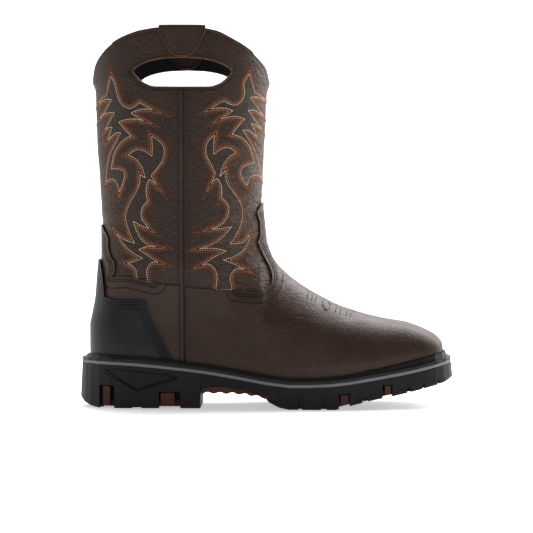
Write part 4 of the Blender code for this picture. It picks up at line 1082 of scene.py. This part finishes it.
def makeEmbroidery():
    rows = [[], [], []]
    prisms = []
    for shape in (frontUpper, frontLower, rearUpper, rearLower):
        spots = fromPhoto(np.concatenate([smoothLine(stroke)[:-1] for stroke in shape]))
        loop = toFlat(spots)
        if area(loop) < 0:
            loop, spots = loop[::-1], spots[::-1]
        prisms.append(spots)
        for row, distance in zip(rows, thread["rows"]):
            moved = offsetLine(loop, distance, closed=True) if distance else loop
            starts, ends = stitchEnds(moved, thread["pitch"], closed=True)
            keepThem = np.abs(starts[:, 0]) < flat["reach"]
            keepThem &= starts[:, 1] > flat["low"] + flat["margin"]
            row.append((fromFlat(starts[keepThem]), fromFlat(ends[keepThem])))
    for name, row, material in zip(("creamStitches", "orangeStitches", "rustStitches"), rows,
                                   (creamThread, orangeThread, rustThread)):
        starts, ends = (np.concatenate(part) for part in zip(*row))
        sides = [onSide(starts, ends, sign, thread["inlay"]) for sign in (-1, 1)]
        sewAll(name, sides, material, thread["radius"])
    verts, faces = [], []
    for spots in prisms:
        start, count = 2 * sum(len(p) for p in prisms[:len(verts) // 2]), len(spots)
        verts += [np.insert(spots, 1, y, axis=1) for y in (-far, far)]
        k = np.arange(count)
        sides = np.stack([k, (k + 1) % count, count + (k + 1) % count, count + k], axis=-1) + start
        faces += sides.tolist() + [(k + start).tolist(), (k[::-1] + count + start).tolist()]
    tool = faceOut(addMesh("tool", np.concatenate(verts), faces))
    inlay = leatherShell("pebbledInlays", thread["inlay"], thread["inlayUnder"],
                         np.linspace(thread["inlayFrom"], 1, thread["inlayRows"]), thread["inlayRound"])
    combine(inlay, tool, "INTERSECT")
    keep(inlay, "edge", np.full(len(inlay.data.vertices), awayFromEdge))
    keep(inlay, "worn", wornAt(placesOf(inlay)))
    dress(inlay, inlayLeather)


makeEmbroidery()
print("embroidery ready")


# plain stitch rows: a line on the side of the boot, moved by its distance from the edge it follows
def stitchRow(line, distance, lift, pitch=2.1 * mm, along=(-1.0, 2.0)):
    moved = offsetLine(line, distance) if distance else line
    starts, ends = stitchEnds(moved, pitch, corner=50)
    share = alongOf(starts[:, 0])
    inside = np.minimum(starts[:, 0] - backX(starts[:, 1]), frontX(starts[:, 1]) - starts[:, 0])
    kept = (share > along[0]) & (share < along[1]) & (starts[:, 1] > 0) & (inside > sewing["inside"])
    return [onSide(starts[kept], ends[kept], sign, lift) for sign in (-1, 1)]


# toe medallion of the vamp, charted on the photograph: lines that cross the ridge of the foot
medallion = strokes(
    "307.5,289.8 307.5,294 306.5,300 / 311.8,291.5 311.8,296 311,302 / 315.8,293.3 315.6,298 314.8,303 /"
    "325.6,312 321.8,306 323.6,300.5 327.5,298 / 325.6,312 329.6,308 327.6,303.5 330.8,300.5 /"
    "336.4,303 336,308 335,313 / 340.6,305 340.4,310 339.6,315 /"
    "345.6,317 347,312.5 351.6,309 / 350,318 351.4,313.5 357,311.5 /"
    "357,311.5 366,313.8 380,316.8")
sewing = {
    "inside": 1.6 * mm, "radius": 0.32 * mm, "cord": 0.5 * mm, "proud": 0.3 * mm, "channel": 0.02 * mm,
    "pair": (1.5 * mm, 3.3 * mm), "vampFar": 8.2 * mm, "counterFar": 8.6 * mm, "medallionPitch": 1.5 * mm,
    "vampPart": (-1, 0.60), "vampFarPart": (0.26, 0.60), "counterPart": (0.03, 2),
    "counterFarPart": (0.05, 2),
    "bySeam": (-4.0 * mm, 4.6 * mm, 6.0 * mm), "seamEnds": 3 * mm, "seamSamples": 300, "bendAhead": 5 * mm,
    "bendGap": mm, "collar": 2.6 * mm, "collarPart": (0.03, 0.45), "hole": 2.4 * mm,
}


def makeSeamStitches():
    over = boot["gap"] + boot["overlay"] + sewing["channel"]
    parts = []
    vampLine, counterLine = outlineOf(vampEdge), outlineOf(counterEdge)
    for distance in sewing["pair"]:
        parts += stitchRow(vampLine, -distance, over, along=sewing["vampPart"])
        parts += stitchRow(counterLine, distance, over, along=sewing["counterPart"])
    parts += stitchRow(vampLine, -sewing["vampFar"], over, along=sewing["vampFarPart"])
    parts += stitchRow(counterLine, sewing["counterFar"], over, along=sewing["counterFarPart"])
    foot = featherZ(np.array([seamX]))[0] + sewing["seamEnds"]
    z = np.linspace(boot["holeBottom"] - sewing["seamEnds"], foot, sewing["seamSamples"])
    bend = curve(vampLine[::-1, 0], vampLine[::-1, 1], np.array([seamX + sewing["bendAhead"]]))[0]
    for away in sewing["bySeam"]:
        line = np.stack([np.full(len(z), seamX + away), z], axis=1)
        parts += stitchRow(line[line[:, 1] > bend + sewing["bendGap"]], 0, sewing["channel"])
        parts += stitchRow(line[line[:, 1] < bend - sewing["bendGap"]], 0, over)
    parts += stitchRow(collarLine[::2], sewing["collar"], sewing["channel"], along=sewing["collarPart"])
    hole = holeOutline(sewing["hole"])
    parts += stitchRow(np.concatenate([hole, hole[:1]]), 0, sewing["channel"])
    sewAll("seamStitches", parts, brownThread, sewing["radius"])
    parts = []
    for stroke in medallion:
        line = fromPhoto(smoothLine(stroke))
        parts += stitchRow(line, 0, over + sewing["proud"], sewing["medallionPitch"])
    sewAll("medallionStitches", parts, tanThread, sewing["cord"])


# thin round beads along lines on the side; each line comes with its side, its height and if it is closed
def edgeBead(name, lines, radius, material, sides=8):
    verts, faces, start = [], [], 0
    angle = np.arange(sides) / sides * 2 * math.pi
    for line, sign, lift, shut in lines:
        spots = sidePoint(line[:, 0], line[:, 1], sign, lift)
        outs = sidePoint(line[:, 0], line[:, 1], sign, lift + mm) - spots
        if shut:
            tangent = np.roll(spots, -1, axis=0) - np.roll(spots, 1, axis=0)
        else:
            tangent = np.gradient(spots, axis=0)
        tangent /= np.linalg.norm(tangent, axis=1, keepdims=True)
        outs -= tangent * (outs * tangent).sum(axis=1, keepdims=True)
        outs /= np.linalg.norm(outs, axis=1, keepdims=True)
        across = np.cross(tangent, outs)
        ring = across[:, None] * np.cos(angle)[:, None] + outs[:, None] * np.sin(angle)[:, None]
        rings = spots[:, None] + ring * radius
        count = len(spots)
        verts.append(rings.reshape(-1, 3))
        faces += gridFaces(count, sides, start=start).tolist()
        last = start + (count - 1) * sides
        if shut:
            k = np.arange(sides)
            j = (k + 1) % sides
            faces += np.stack([last + k, last + j, start + j, start + k], axis=-1).tolist()
        else:
            faces += [list(range(start, start + sides))[::-1], list(range(last, last + sides))]
        start += count * sides
    bead = faceOut(addMesh(name, np.concatenate(verts), faces))
    keep(bead, "edge", np.full(len(bead.data.vertices), awayFromEdge))
    return dress(bead, material)


rawRim = {"grow": 0.1 * mm, "lift": -0.5 * mm, "radius": 0.62 * mm}
piping = {"radius": 0.95 * mm, "under": 2.5 * mm, "above": 0.45 * mm, "reach": 58 * mm}


# tan rim of the cut leather in the pull holes, and the dark binding that stands a little above the collar
def makeRims():
    lines = [(holeOutline(rawRim["grow"]), sign, rawRim["lift"], True) for sign in (-1, 1)]
    edgeBead("pullHoleRims", lines, rawRim["radius"], cutLeather)
    fromSeam = np.abs(collarLine[:, 0] - seamX)
    away = (fromSeam > boot["tabWidth"] / 2 - piping["under"]) & (fromSeam < piping["reach"])
    lines = []
    for side in (collarLine[:, 0] < seamX, collarLine[:, 0] > seamX):
        rim = collarLine[away & side] + [0, piping["above"]]
        lines += [(rim, sign, -boot["wall"] / 2, False) for sign in (-1, 1)]
    edgeBead("collarPiping", lines, piping["radius"], liningCloth)


makeSeamStitches()
makeRims()
print("seam stitches and rims ready")


def setMaterial(nodeName, material):
    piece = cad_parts[nodeName]
    piece.data.materials.clear()
    piece.data.materials.append(material)


cadMaterials = {
    "outsole": soleRubber, "welt": weltRubber, "midsole": stripeRubber, "heel_lugs": lugRubber,
    "forefoot_lugs": lugRubber, "arch_insert": lugRubber, "insole": liningCloth,
}
for nodeName, material in cadMaterials.items():
    setMaterial(nodeName, material)


# white studio: a bright sweep behind and above, big soft lights, the camera's side left dimmer
studio = {
    "world": 0.06, "floor": "#f4f4f6", "floorRough": 0.6, "sweep": 1.0, "floorGlow": 0.45,
    "size": 6.0, "away": 2.2, "high": 4.0, "under": -0.5, "paper": (0.8, 0.8, 0.8, 1),
    "white": (1, 1, 1, 1),
    "lights": (  # name, place, aimed at, width, height, watts
        ("topBack", (0.10, 0.85, 1.25), (0.0, 0.0, 0.12), 1.6, 0.9, 34.0),
        ("right", (0.95, 0.45, 0.75), (0.05, 0.0, 0.10), 0.8, 1.0, 18.0),
        ("left", (-1.15, 0.10, 0.60), (-0.08, 0.0, 0.15), 0.8, 1.0, 3.4),
        ("front", (-0.15, -1.6, 0.95), (0.0, 0.0, 0.12), 1.0, 0.7, 2.2),
    ),
}


def makeStudio():
    world = bpy.data.worlds.new("studioWhite")
    world.use_nodes = True
    world.node_tree.nodes["Background"].inputs["Color"].default_value = studio["white"]
    world.node_tree.nodes["Background"].inputs["Strength"].default_value = studio["world"]
    bpy.context.scene.world = world
    size, away, high, under = (studio[key] for key in ("size", "away", "high", "under"))
    corners = [(-size, -size, 0), (size, -size, 0), (size, size, 0), (-size, size, 0)]
    floor = addMesh("floor", corners, [(0, 1, 2, 3)])
    material, tree, shader = newMaterial("paintedStudioFloor")
    shader.inputs["Base Color"].default_value = linear(studio["floor"])
    shader.inputs["Roughness"].default_value = studio["floorRough"]
    shader.inputs["Emission Color"].default_value = studio["white"]
    shader.inputs["Emission Strength"].default_value = studio["floorGlow"]
    floor.data.materials.append(material)
    corners = [(-size, away, under), (size, away, under), (size, away, high), (-size, away, high)]
    sweep = addMesh("sweep", corners, [(0, 1, 2, 3)])
    material, tree, shader = newMaterial("litPaperSweep")
    shader.inputs["Base Color"].default_value = studio["paper"]
    shader.inputs["Emission Color"].default_value = studio["white"]
    shader.inputs["Emission Strength"].default_value = studio["sweep"]
    sweep.data.materials.append(material)
    for name, place, target, width, height, watts in studio["lights"]:
        light = bpy.data.lights.new(name, "AREA")
        light.shape = "RECTANGLE"
        light.size, light.size_y, light.energy = width, height, watts
        lamp = bpy.data.objects.new(name, light)
        lamp.location = place
        east, north, up = np.array(place) - np.array(target)
        lamp.rotation_euler = (math.atan2(math.hypot(east, north), up), 0, math.atan2(east, -north))
        bpy.context.scene.collection.objects.link(lamp)
    bpy.context.scene.view_settings.view_transform = "Standard"


makeStudio()
print("studio ready")
